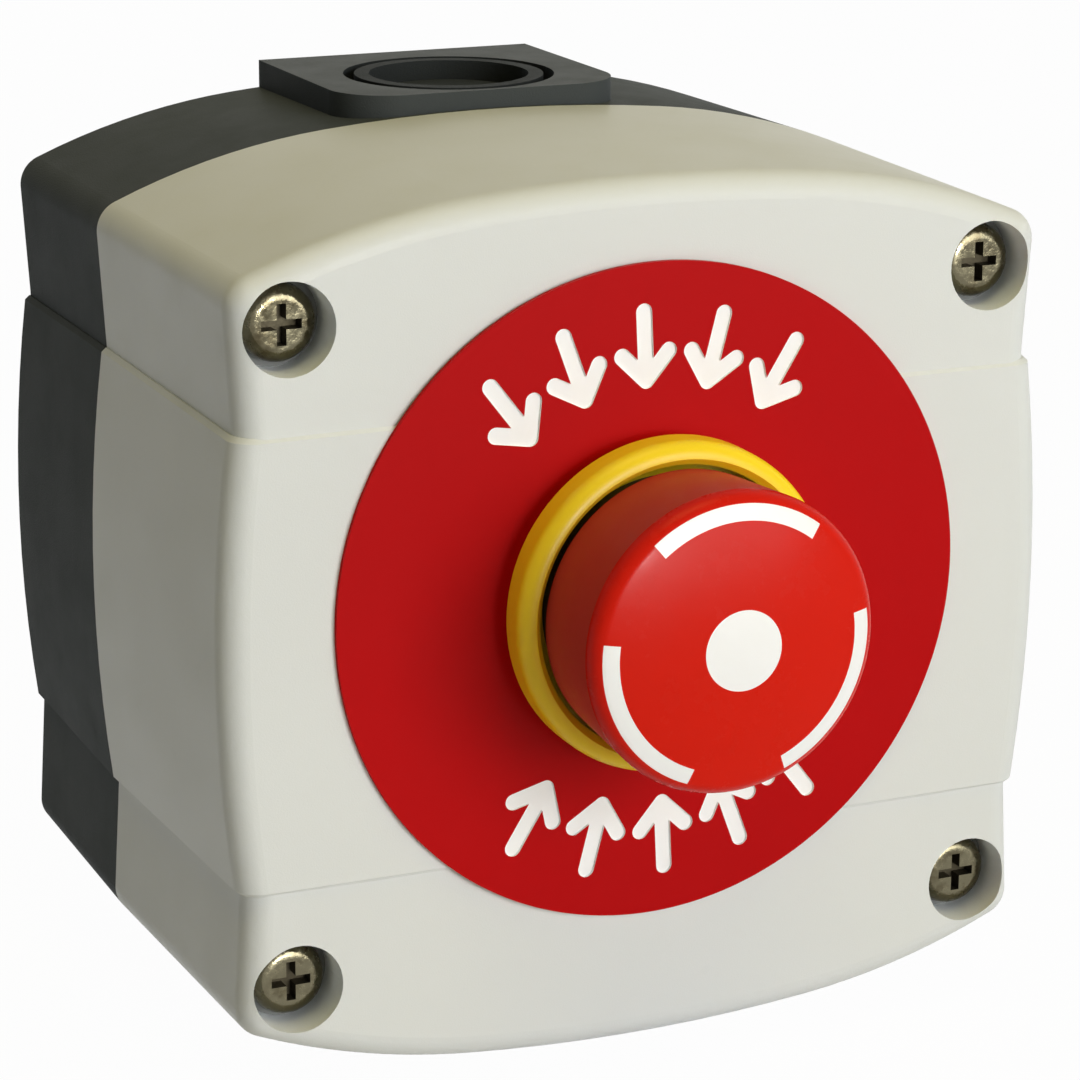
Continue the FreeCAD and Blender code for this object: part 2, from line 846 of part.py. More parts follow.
def make_front_cover():
    """The pale cover: a deep tray with a screw column in each corner, a sunk seat for each screw
    head, a tongue for the seal and a keyed hole for the button."""
    form = moulded_form("front", cover_depth, size.band_face_step, False)
    cavity = inside_form("front_cavity", size.side_wall, boss_radius, size.base_depth,
                         cover_depth - size.front_wall)
    shell = cut("front_shell", form, [cavity])
    tongue = seal_loop("seal_tongue", size.base_depth - size.tongue_height,
                       size.tongue_height + size.side_wall, size.tongue_clearance)
    whole = fused("front_whole", [shell, tongue])
    seats = corner_bars("screw_seat", size.recess_radius, size.box_depth - size.recess_depth,
                        size.recess_depth + size.front_wall)
    holes = corner_bars("screw_hole", size.screw_clear_radius, size.base_depth, cover_depth)
    hole = bar("button_hole", size.panel_hole_radius, panel_back - size.front_wall,
               size.front_wall * 3, 0, size.button_rise)
    key_top = size.button_rise + size.panel_hole_radius + size.key_reach
    key = block("key_notch", (-size.key_half_width, size.key_half_width),
                (panel_back - size.front_wall, size.box_depth + size.front_wall),
                (size.button_rise, key_top))
    return cut("front_cover", whole, seats + holes + [hole, key])


def make_cover_seal():
    """The soft strip that lies in the rear box's groove, under the cover's tongue."""
    start = size.base_depth - size.tongue_height - size.seal_thickness
    return seal_loop("cover_seal", start, size.seal_thickness, dim(0))


def cover_screw(index, x, z):
    """One pan-head screw with a cross recess."""
    seat = size.box_depth - size.recess_depth
    tip = size.base_depth - size.screw_grip
    top = seat + size.screw_head_height
    name = f"cover_screw_{index}"
    neck = size.screw_head_radius - size.screw_crown
    body = turned(name, [
        (0, tip),
        (size.screw_radius, tip + size.screw_tip),
        (size.screw_radius, seat),
        (size.screw_head_radius, seat),
        (size.screw_head_radius, seat + size.screw_head_rim),
        (neck, top, -size.screw_crown),
        (0, top),
    ])
    place(body, x, 0, z)
    drawing = Drawing(body, f"{name}_cross", "XZ_Plane", top)
    arm = size.cross_reach
    half = size.cross_half_width
    drawing.closed([
        (arm, -half), (arm, half), (half, half), (half, arm), (-half, arm), (-half, half),
        (-arm, half), (-arm, -half), (-half, -half), (-half, -arm), (half, -arm), (half, -half),
    ])
    pocketed(body, drawing, size.cross_depth)
    return body


def make_cover_screws():
    """The four cover screws."""
    spots = ((-screw_x, -screw_z), (screw_x, -screw_z), (screw_x, screw_z), (-screw_x, screw_z))
    return grouped("cover_screws", [cover_screw(index, x, z)
                                    for index, (x, z) in enumerate(spots, start=1)])


# The push button, turned about its own axis


def make_label_disc():
    """The flat red disc behind the button."""
    return turned("label_disc", [
        (size.collar_bore, size.box_depth),
        (size.label_radius, size.box_depth),
        (size.label_radius, label_front),
        (size.collar_bore, label_front),
    ], size.button_rise)


def make_yellow_collar():
    """The yellow ring: a narrow foot, a flared wall with a rounded lip, and a floor with a groove
    for the ring seal underneath."""
    top = label_front + size.collar_height
    lip = size.collar_lip
    return turned("yellow_collar", [
        (size.collar_bore, label_front),
        (size.ring_seal_inner, label_front),
        (size.ring_seal_inner, label_front + size.ring_seal_height),
        (size.ring_seal_outer, label_front + size.ring_seal_height),
        (size.ring_seal_outer, label_front),
        (size.collar_foot, label_front),
        (size.collar_radius, label_front + size.collar_waist),
        (size.collar_radius, top - lip),
        (size.collar_radius - lip, top, -lip),
        (size.collar_inside, top - lip / 2),
        (size.collar_inside, collar_seat),
        (size.collar_bore, collar_seat),
    ], size.button_rise)


def make_ring_seal():
    """The flat rubber ring in the collar's groove."""
    return turned("ring_seal", [
        (size.ring_seal_inner, label_front),
        (size.ring_seal_outer, label_front),
        (size.ring_seal_outer, label_front + size.ring_seal_height),
        (size.ring_seal_inner, label_front + size.ring_seal_height),
    ], size.button_rise)


def make_operator_bush():
    """The black bush that passes through the cover: a flange in front, a bore with grooves for the
    stop ring and the latch ring, a ledge for the return spring, and a key in the cover's notch."""
    stop_front = bush_front - size.stop_ring_depth + size.ring_play
    stop_back = sleeve_stop - size.ring_play
    latch_back = bush_front - size.latch_depth - size.latch_wire - size.ring_play
    latch_front = bush_front - size.latch_depth + size.latch_wire + size.ring_play
    latch_groove = size.latch_mean_radius + size.latch_wire + size.ring_play
    stop_groove = size.stop_ring_radius + size.ring_play
    bush = turned("bush_turned", [
        (size.bush_ledge_bore, bush_back),
        (size.bush_radius, bush_back),
        (size.bush_radius, collar_seat),
        (size.bush_flange_radius, collar_seat),
        (size.bush_flange_radius, bush_front),
        (size.bush_bore, bush_front),
        (size.bush_bore, stop_front),
        (stop_groove, stop_front),
        (stop_groove, stop_back),
        (size.bush_bore, stop_back),
        (size.bush_bore, latch_front),
        (latch_groove, latch_front),
        (latch_groove, latch_back),
        (size.bush_bore, latch_back),
        (size.bush_bore, bush_back + size.bush_ledge),
        (size.bush_ledge_bore, bush_back + size.bush_ledge),
    ], size.button_rise)
    half = size.key_half_width - size.key_clearance
    foot = (size.bush_bore + size.bush_radius) / 2
    reach = size.panel_hole_radius + size.key_reach - size.key_clearance
    key = block("bush_key", (-half, half),
                (panel_back + size.key_clearance, size.box_depth - size.key_clearance),
                (size.button_rise + foot, size.button_rise + reach))
    return fused("operator_bush", [bush, key])


def make_lock_washer():
    """The thin washer between the cover and the nut."""
    bore = size.bush_radius + size.nut_play
    back = panel_back - size.washer_thickness
    return turned("lock_washer", [
        (bore, back), (size.nut_radius, back), (size.nut_radius, panel_back), (bore, panel_back),
    ], size.button_rise)


def make_fixing_nut():
    """The round nut that pulls the bush against the cover, with notches for a spanner."""
    front = panel_back - size.washer_thickness
    back = front - size.nut_height
    bore = size.bush_radius + size.nut_play
    body = turned("fixing_nut", [
        (bore, back), (size.nut_radius, back), (size.nut_radius, front), (bore, front),
    ], size.button_rise)
    drawing = Drawing(body, "nut_notch", "XZ_Plane", front)
    drawing.circle(size.nut_radius, 0, size.nut_notch_radius)
    notch = pocketed(body, drawing, size.nut_height)
    pattern = body.newObject("PartDesign::PolarPattern", "nut_notch_ring")
    pattern.Originals = [notch]
    pattern.Axis = (drawing.sketch, ["N_Axis"])
    pattern.Angle = 360
    bind(pattern, "Occurrences", size.nut_notches)
    body.Tip = pattern
    doc.recompute()
    return body


def make_button_head():
    """The red head: a domed face that runs smoothly into a rounded rim, a skirt that narrows
    towards the collar, and a hub inside that holds the spindle."""
    dome = size.head_dome_radius
    rim = size.head_rim
    rim_middle = size.head_radius - rim
    dome_middle = face_front - dome
    reach = root((dome - rim) * (dome - rim) - rim_middle * rim_middle)
    share = dome / (dome - rim)
    inner = size.head_skirt_radius - size.head_wall
    return turned("button_head", [
        (size.spindle_radius, sleeve_tip + size.clip_play),
        (size.hub_radius, sleeve_tip + size.clip_play),
        (size.hub_radius, head_under),
        (inner, head_under),
        (inner, skirt_end),
        (size.head_skirt_radius, skirt_end),
        (size.head_radius, dome_middle + reach),
        (rim_middle * share, dome_middle + reach * share, -rim),
        (0, face_front, -dome),
        (0, head_under),
        (size.spindle_radius, head_under),
    ], size.button_rise)


def make_release_spindle():
    """The spindle that turns with the head, with a groove for its clip at the back."""
    clip_front = sleeve_back - size.clip_play
    clip_back = clip_front - size.clip_thickness
    waist = size.spindle_radius - size.clip_groove
    return turned("release_spindle", [
        (0, spindle_back),
        (size.spindle_radius, spindle_back),
        (size.spindle_radius, clip_back),
        (waist, clip_back),
        (waist, clip_front),
        (size.spindle_radius, clip_front),
        (size.spindle_radius, head_under),
        (0, head_under),
    ], size.button_rise)


def make_spindle_clip():
    """The snap ring in the spindle's groove, open on one side."""
    front = sleeve_back - size.clip_play
    back = front - size.clip_thickness
    waist = size.spindle_radius - size.clip_groove
    ring = turned("clip_ring", [
        (waist, back), (size.clip_radius, back), (size.clip_radius, front), (waist, front),
    ], size.button_rise)
    mouth = block("clip_mouth", (-waist, waist), (back, front),
                  (size.button_rise - size.clip_radius, size.button_rise))
    return cut("spindle_clip", ring, [mouth])


def make_plunger_sleeve():
    """The plunger: a sleeve that slides in the bush, with a flange between the return spring and
    the stop ring, and a front end that carries the head."""
    flange_back = sleeve_stop - size.sleeve_flange
    return turned("plunger_sleeve", [
        (size.sleeve_bore, sleeve_back),
        (size.sleeve_radius, sleeve_back),
        (size.sleeve_radius, flange_back),
        (size.sleeve_flange_radius, flange_back),
        (size.sleeve_flange_radius, sleeve_stop),
        (size.sleeve_radius, sleeve_stop),
        (size.sleeve_radius, sleeve_tip),
        (size.sleeve_bore, sleeve_tip),
    ], size.button_rise)


def make_stop_ring():
    """The ring in the front of the bush that keeps the plunger in."""
    front = sleeve_stop + size.stop_ring_thickness
    return turned("stop_ring", [
        (size.stop_ring_bore, sleeve_stop),
        (size.stop_ring_radius, sleeve_stop),
        (size.stop_ring_radius, front),
        (size.stop_ring_bore, front),
    ], size.button_rise)


def make_latch_ring():
    """The open wire ring that snaps behind the plunger's flange when the button is pressed."""
    body = new_body("latch_ring")
    drawing = Drawing(body, "latch_wire_section", "XY_Plane")
    drawing.circle(size.latch_mean_radius, -(bush_front - size.latch_depth), size.latch_wire)
    feature = body.newObject("PartDesign::Revolution", "latch_turn")
    feature.Profile = drawing.sketch
    feature.ReferenceAxis = (drawing.sketch, ["V_Axis"])
    bind(feature, "Angle", 360 - size.latch_opening)
    bind(body, "Placement.Base.z", size.button_rise)
    doc.recompute()
    return body


def make_return_spring():
    """The spring between the bush's ledge and the plunger's flange."""
    start = bush_back + size.bush_ledge
    stop = sleeve_stop - size.sleeve_flange
    return coil("return_spring", size.return_spring_radius, size.spring_wire, start,
                stop - start, size.return_spring_turns)


def make_twist_spring():
    """The spring round the head's hub that turns the head back on the plunger."""
    start = sleeve_tip + size.clip_play
    return coil("twist_spring", size.twist_spring_radius, size.twist_spring_wire, start,
                head_under - start, size.twist_spring_turns)


# The contact block and its adapter


def make_contact_adapter():
    """The adapter that grips the back of the bush and the ends of the contact block."""
    top = block_front + size.adapter_height
    grip = size.bush_radius + size.adapter_play
    cup = turned("adapter_cup", [
        (size.adapter_bore, block_front),
        (size.adapter_radius, block_front),
        (size.adapter_radius, top),
        (grip, top),
        (grip, bush_back),
        (size.adapter_bore, bush_back),
    ], size.button_rise)
    half = size.adapter_arm_half_width
    reach = size.block_half_height + size.adapter_arm
    parts = [cup]
    for sign, name in ((1, "upper"), (-1, "lower")):
        inner = side_of(sign, size.block_half_height)
        outer = side_of(sign, reach)
        near = side_of(sign, (size.adapter_bore + size.adapter_radius) / 2)
        span = (inner, outer) if sign > 0 else (outer, inner)
        bridge = (near, outer) if sign > 0 else (outer, near)
        parts.append(block(f"{name}_arm", (-half, half),
                           (block_front - size.adapter_arm_length, block_front),
                           tuple(size.button_rise + level for level in span)))
        parts.append(block(f"{name}_bridge", (-half, half),
                           (block_front, block_front + size.adapter_plate),
                           tuple(size.button_rise + level for level in bridge)))
    return fused("contact_adapter", parts)


def about_axis(low, high):
    """A pair of heights measured from the button's axis."""
    return (size.button_rise + low, size.button_rise + high)


def make_contact_housing():
    """The contact block's case: a closed box with a hole for its plunger, a guide for the plunger's
    pin, holes behind the screws and a wire hole in each end."""
    half_x = size.block_half_width
    half_z = size.block_half_height
    wall = size.block_wall
    case = block("case", (-half_x, half_x), (block_back, block_front), about_axis(-half_z, half_z))
    room = block("case_room", (wall - half_x, half_x - wall),
                 (block_back + wall, block_front - wall),
                 about_axis(wall - half_z, half_z - wall))
    guide_bore = size.contact_pin_radius + size.contact_play
    guide_front = bridge_front - size.contact_pin + size.guide_overlap
    guide = bar("guide", guide_bore + size.guide_wall, block_back, guide_front - block_back,
                0, size.button_rise)
    shell = fused("case_shell", [cut("case_hollow", case, [room]), guide])
    inside_back = block_back + wall
    tools = [
        bar("guide_bore", guide_bore, inside_back, guide_front - inside_back, 0, size.button_rise),
        bar("plunger_hole", size.contact_radius + size.contact_play, block_front - wall, wall,
            0, size.button_rise),
    ]
    for sign, name in ((1, "upper"), (-1, "lower")):
        place_z = size.button_rise + side_of(sign, size.terminal_place)
        tools.append(bar(f"{name}_access", size.terminal_access, block_back, wall, 0, place_z))
        low = half_z - wall if sign > 0 else -half_z
        tools.append(upright(f"{name}_wire_hole", size.wire_hole_radius, contact_wire,
                             size.button_rise + low, wall))
    return cut("contact_housing", shell, tools)


def make_contact_plunger():
    """The contact block's plunger, which the spindle pushes, with a guide pin behind it."""
    tip = bridge_front - size.contact_pin
    return turned("contact_plunger", [
        (0, tip),
        (size.contact_pin_radius, tip),
        (size.contact_pin_radius, bridge_front),
        (size.contact_radius, bridge_front),
        (size.contact_radius, contact_front),
        (0, contact_front),
    ], size.button_rise)


def make_contact_bridge():
    """The moving strip that joins the two fixed contacts until the plunger pushes it off."""
    half = size.strip_half_width
    back = bridge_front - size.strip_thickness
    strip = block("bridge_strip", (-half, half), (back, bridge_front),
                  about_axis(-size.bridge_half_length, size.bridge_half_length))
    hole = bar("bridge_hole", size.contact_pin_radius + size.contact_play, back,
               size.strip_thickness, 0, size.button_rise)
    return cut("contact_bridge", strip, [hole])


def make_contact_spring():
    """The spring that holds the bridge against the fixed contacts."""
    start = block_back + size.block_wall
    stop = bridge_front - size.strip_thickness
    return coil("contact_spring", size.contact_spring_radius, size.contact_spring_wire, start,
                stop - start, size.contact_spring_turns)


def mirrored_pair(name, make_one):
    """Two pieces, one on each side of the button's axis, kept under one name."""
    return grouped(name, [make_one(1, f"upper_{name}"), make_one(-1, f"lower_{name}")])


def make_fixed_contacts():
    """The two fixed contact strips, each with a hole for its terminal screw."""
    def strip(sign, name):
        end = size.block_half_height - size.block_wall
        low, high = (size.fixed_inner, end) if sign > 0 else (-end, -size.fixed_inner)
        half = size.strip_half_width
        bar_z = size.button_rise + side_of(sign, size.terminal_place)
        body = block(f"{name}_strip", (-half, half), (strip_back, strip_front),
                     about_axis(low, high))
        hole = bar(f"{name}_hole", size.terminal_shank + size.terminal_play, strip_back,
                   size.strip_thickness, 0, bar_z)
        return cut(name, body, [hole])
    return mirrored_pair("fixed_contacts", strip)


def make_terminal_screws():
    """The two screws that clamp the wires in the contact block, turned from behind."""
    def screw(sign, name):
        head_back = strip_back - size.terminal_head
        return turned(name, [
            (0, head_back),
            (size.terminal_head_radius, head_back),
            (size.terminal_head_radius, strip_back),
            (size.terminal_shank, strip_back),
            (size.terminal_shank, strip_back + size.terminal_length),
            (0, strip_back + size.terminal_length),
        ], size.button_rise + side_of(sign, size.terminal_place))
    return mirrored_pair("terminal_screws", screw)


def make_terminal_clamps():
    """The two square nuts that the terminal screws pull against the wires."""
    def clamp(sign, name):
        half = size.clamp_half_width
        back = contact_wire + size.wire_radius + size.wire_play
        middle = side_of(sign, size.terminal_place)
        nut = block(f"{name}_nut", (-half, half), (back, back + size.clamp_thickness),
                    about_axis(middle - half, middle + half))
        hole = bar(f"{name}_hole", size.terminal_shank + size.terminal_play, back,
                   size.clamp_thickness, 0, size.button_rise + middle)
        return cut(name, nut, [hole])
    return mirrored_pair("terminal_clamps", clamp)


# The transmitter board and what stands on it


def make_transmitter_board():
    """The circuit board on its four posts, with round corners and a hole at each post."""
    body = new_body("transmitter_board")
    drawing = Drawing(body, "board_outline", "XZ_Plane", board_back)
    half_x = size.board_width / 2
    half_z = size.board_height / 2
    turn = size.board_corner
    drawing.closed([
        (half_x - turn, -half_z),
        (half_x, turn - half_z, turn),
        (half_x, half_z - turn),
        (half_x - turn, half_z, turn),
        (turn - half_x, half_z),
        (-half_x, half_z - turn, turn),
        (-half_x, turn - half_z),
        (turn - half_x, -half_z, turn),
    ])
    for x in (-board_hole_x / 2, board_hole_x / 2):
        for z in (-board_hole_z / 2, board_hole_z / 2):
            drawing.circle(x, z, size.board_hole_radius)
    padded(body, drawing, size.board_thickness)
    return body


def board_screw(index, x, z):
    """One small screw that holds the board on its post."""
    tip = board_back - size.board_screw_grip
    top = board_front + size.board_screw_head_height
    body = turned(f"board_screw_{index}", [
        (0, tip),
        (size.board_screw_radius, tip + size.board_screw_radius),
        (size.board_screw_radius, board_front),
        (size.board_screw_head, board_front),
        (size.board_screw_radius, top, -size.board_screw_head),
        (0, top),
    ])
    place(body, x, 0, z)
    doc.recompute()
    return body


def make_board_screws():
    """The four board screws."""
    half_x = board_hole_x / 2
    half_z = board_hole_z / 2
    spots = ((-half_x, -half_z), (half_x, -half_z), (half_x, half_z), (-half_x, half_z))
    return grouped("board_screws", [board_screw(index, x, z)
                                    for index, (x, z) in enumerate(spots, start=1)])


def standing(name, x, z, width, height, start, thickness):
    """A flat block with its middle at x and z, from its starting depth."""
    return block(name, (x - width / 2, x + width / 2), (start, start + thickness),
                 (z - height / 2, z + height / 2))


def make_radio_module():
    """The radio module: a small board with half-round pads along two edges, under a metal can."""
    x = radio_x
    z = size.radio_z
    base = standing("radio_base", x, z, size.radio_width, size.radio_height, board_front,
                    size.radio_board)
    pads = []
    for index in range(int(size.radio_pads.value)):
        level = z + size.radio_pad_pitch * (index - (size.radio_pads - 1) / 2)
        for side, edge in (("left", x - size.radio_width / 2), ("right", x + size.radio_width / 2)):
            pads.append(bar(f"pad_{side}_{index}", size.radio_pad_radius, board_front,
                            size.radio_board, edge, level))
    can = standing("radio_can", x, z, size.radio_width - size.radio_margin * 2,
                   size.radio_height - size.radio_margin, board_front, size.radio_board
                   + size.radio_can)
    return fused("radio_module", [cut("radio_padded", base, pads), can])


def make_antenna_coil():
    """The wound antenna above the board, with a leg down to it."""
    body = new_body("antenna_winding")
    drawing = Drawing(body, "antenna_section", "XY_Plane")
    drawing.circle(0, size.antenna_radius, size.antenna_wire)
    wound(body, drawing, "H_Axis", False, size.antenna_length, size.antenna_turns)
    axis = board_front + size.antenna_depth
    place(body, size.antenna_x, -axis, size.antenna_z)
    leg = bar("antenna_leg", size.antenna_wire, board_front,
              size.antenna_depth - size.antenna_radius, size.antenna_x, size.antenna_z)
    return fused("antenna_coil", [body, leg])


def make_processor_chip():
    """The square chip beside the radio."""
    item = standing("processor_chip", size.chip_x, size.chip_z, size.chip_width, size.chip_width,
                    board_front, size.chip_thickness)
    doc.recompute()
    return item


def make_capacitor():
    """The round capacitor, with a rounded top edge."""
    top = board_front + size.capacitor_height
    turn = size.capacitor_round
    body = turned("capacitor", [
        (0, board_front),
        (size.capacitor_radius, board_front),
        (size.capacitor_radius, top - turn),
        (size.capacitor_radius - turn, top, -turn),
        (0, top),
    ])
    place(body, size.capacitor_x, 0, size.capacitor_z)
    doc.recompute()
    return body


def make_resistors():
    """A row of small resistors."""
    row = []
    for index in range(int(size.resistor_count.value)):
        row.append(standing(f"resistor_{index}", resistor_x + size.resistor_pitch * index,
                            size.resistor_z, size.resistor_width, size.resistor_length,
                            board_front, size.resistor_height))
    return grouped("resistors", row)


def make_battery_cradle():
    """The round tray for the battery, open on one side to push it out."""
    rim = cradle_floor + size.cradle_rise
    inside = size.battery_radius + size.cradle_clearance
    tray = turned("cradle_tray", [
        (0, board_front), (cradle_outside, board_front), (cradle_outside, rim), (inside, rim),
        (inside, cradle_floor), (0, cradle_floor),
    ])
    place(tray, battery_x, 0, size.battery_z)
    mouth = block("cradle_mouth", (battery_x - cradle_outside, battery_x),
                  (cradle_floor, rim),
                  (size.battery_z - size.cradle_gap / 2, size.battery_z + size.cradle_gap / 2))
    return cut("battery_cradle", tray, [mouth])


def make_battery():
    """The button cell, with bevelled edges."""
    edge = size.battery_edge
    flat = size.battery_radius - edge
    body = turned("battery", [
        (0, cradle_floor),
        (flat, cradle_floor),
        (size.battery_radius, cradle_floor + edge),
        (size.battery_radius, battery_front - edge),
        (flat, battery_front),
        (0, battery_front),
    ])
    place(body, battery_x, 0, size.battery_z)
    doc.recompute()
    return body


def make_battery_clip():
    """The metal strap bent over the battery, with a foot on the board at each end."""
    body = new_body("battery_clip")
    drawing = Drawing(body, "strap_outline", "YZ_Plane", -size.strap_half_width)
    metal = size.strap_metal
    inner = cradle_outside + size.strap_play
    outer = inner + metal
    foot = outer + size.strap_foot
    step = board_front + metal
    top = battery_front + metal
    corners = [
        (board_front, -foot), (step, -foot), (step, -outer), (top, -outer), (top, outer),
        (step, outer), (step, foot), (board_front, foot), (board_front, inner),
        (battery_front, inner), (battery_front, -inner), (board_front, -inner),
    ]
    drawing.closed([(-depth, level) for depth, level in corners])
    padded(body, drawing, size.strap_half_width * 2)
    place(body, battery_x, 0, size.battery_z)
    doc.recompute()
    return body


def make_wire_terminal():
    """The two-way wire terminal on the board, with a bevelled front, a well for each screw and a
    wire entry on the right."""
    body = new_body("terminal_case")
    low = size.button_rise - size.wire_block_height / 2
    drawing = Drawing(body, "terminal_profile", "XY_Plane", low)
    left = wire_block_x - size.wire_block_width / 2
    top = board_front + size.wire_block_depth
    drawing.closed([
        (left, -top),
        (wire_block_right - size.wire_block_bevel, -top),
        (wire_block_right, -(board_front + size.wire_block_face)),
        (wire_block_right, -board_front),
        (left, -board_front),
    ])
    padded(body, drawing, size.wire_block_height)
    tools = []
    for sign, name in ((1, "upper"), (-1, "lower")):
        level = size.button_rise + side_of(sign, size.wire_pitch / 2)
        tools.append(bar(f"{name}_well", size.wire_screw_radius + size.terminal_play, entry_wire,
                         top - entry_wire, wire_block_x, level))
        tools.append(sideways(f"{name}_entry", size.wire_entry_radius,
                              wire_block_right - size.wire_entry_length, size.wire_entry_length,
                              entry_wire, level))
    return cut("wire_terminal", body, tools)


def make_wire_terminal_screws():
    """The two slotted screws that press on the wires."""
    def screw(sign, name):
        back = entry_wire + size.wire_radius + size.terminal_play
        front = back + size.wire_screw_height
        body = turned(name, [
            (0, back), (size.wire_screw_radius, back), (size.wire_screw_radius, front), (0, front),
        ])
        drawing = Drawing(body, f"{name}_slot", "XZ_Plane", front)
        reach = size.wire_screw_radius * 2
        half = size.wire_screw_slot
        drawing.closed([(reach, -half), (reach, half), (-reach, half), (-reach, -half)])
        pocketed(body, drawing, size.wire_screw_slot_depth)
        place(body, wire_block_x, 0,
              size.button_rise + side_of(sign, size.wire_pitch / 2))
        doc.recompute()
        return body
    return mirrored_pair("wire_terminal_screws", screw)


# The two wires from the contact block to the board

# The middle of the upper wire's way: X, height above the button's axis, and depth.
WIRE_BEND = [(13.0, 27.0, 25.0), (26.0, 21.0, 17.0), (29.5, 9.0, 12.3)]
WIRE_RISE = 24.0
WIRE_TURN_X = 26.5
ARC_SHARE = 0.45


def make_signal_wire(name, sign):
    """One wire, as a round tube along straight runs joined by tangent arcs. It leaves an end of the
    contact block, goes round it on the right and enters the board's terminal."""
    start_level = (size.terminal_place + size.terminal_shank + size.wire_radius).value
    contact_depth = contact_wire.value
    entry_depth = entry_wire.value
    entry_level = size.wire_pitch.value / 2
    route = [(0.0, start_level, contact_depth), (0.0, WIRE_RISE, contact_depth)]
    route += WIRE_BEND
    route += [(WIRE_TURN_X, entry_level, entry_depth), (wire_block_x.value, entry_level, entry_depth)]
    rise = size.button_rise.value
    points = [FreeCAD.Vector(x, -depth, rise + sign * level) for x, level, depth in route]
    edges = []
    place_now = points[0]
    for before, corner, after in zip(points, points[1:], points[2:]):
        inward = corner - before
        outward = after - corner
        reach = ARC_SHARE * min(inward.Length, outward.Length)
        half_turn = inward.getAngle(outward) / 2
        radius = reach / math.tan(half_turn)
        first = corner - inward.normalize() * reach
        last = corner + outward.normalize() * reach
        inside = (outward - inward).normalize()
        middle = corner + inside * (radius / math.cos(half_turn) - radius)
        edges.append(Part.LineSegment(place_now, first).toShape())
        edges.append(Part.Arc(first, middle, last).toShape())
        place_now = last
        print(f"{name} bends with a radius of {radius:.1f} mm")
    edges.append(Part.LineSegment(place_now, points[-1]).toShape())
    path = Part.Wire(edges)
    thickness = size.wire_radius.value
    ring = Part.Wire([Part.Circle(points[0], points[1] - points[0], thickness).toShape()])
    tube = path.makePipeShell([ring], True, False)
    expected = math.pi * thickness * thickness * path.Length
    if abs(tube.Volume / expected - 1) > 0.01:
        raise ValueError(f"{name} has a volume of {tube.Volume:.1f}, not {expected:.1f}")
    item = doc.addObject("Part::Feature", name)
    item.Shape = tube
    print(f"{name} is {path.Length:.1f} mm long")
    return item


# The whole part


def make_pieces():
    """Every piece, in the order in which it is built up."""
    return [
        make_rear_box(),
        make_front_cover(),
        make_cover_seal(),
        make_cover_screws(),
        make_label_disc(),
        make_yellow_collar(),
        make_ring_seal(),
        make_operator_bush(),
        make_lock_washer(),
        make_fixing_nut(),
        make_stop_ring(),
        make_latch_ring(),
        make_plunger_sleeve(),
        make_return_spring(),
        make_button_head(),
        make_release_spindle(),
        make_spindle_clip(),
        make_twist_spring(),
        make_contact_adapter(),
        make_contact_housing(),
        make_contact_plunger(),
        make_contact_bridge(),
        make_contact_spring(),
        make_fixed_contacts(),
        make_terminal_screws(),
        make_terminal_clamps(),
        make_transmitter_board(),
        make_board_screws(),
        make_radio_module(),
        make_antenna_coil(),
        make_processor_chip(),
        make_capacitor(),
        make_resistors(),
        make_battery_cradle(),
        make_battery(),
        make_battery_clip(),
        make_wire_terminal(),
        make_wire_terminal_screws(),
        make_signal_wire("signal_wire_upper", 1),
        make_signal_wire("signal_wire_lower", -1),
    ]


def check_document(pieces):
    """Stop on any object that failed, and on any piece that is empty or not valid."""
    for item in doc.Objects:
        if "Invalid" in item.State or "Error" in item.State:
            raise ValueError(f"{item.Name} failed: {item.State}")
    for piece in pieces:
        if piece.Shape.isNull() or not piece.Shape.isValid():
            raise ValueError(f"{piece.Label} has no valid shape")


pieces = make_pieces()
doc.recompute()
check_document(pieces)
os.makedirs("parts", exist_ok=True)
for piece in pieces:
    piece.Shape.exportStep(f"parts/{piece.Label}.step")
    print(f"{piece.Label}: {len(piece.Shape.Solids)} solid(s), {piece.Shape.Volume:.1f} mm3")
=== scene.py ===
"""A wall-mounted push button station: looks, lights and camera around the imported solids."""

import json
import math
from collections import namedtuple

import bmesh
import bpy
from mathutils import Matrix, Vector
from mathutils.geometry import delaunay_2d_cdt


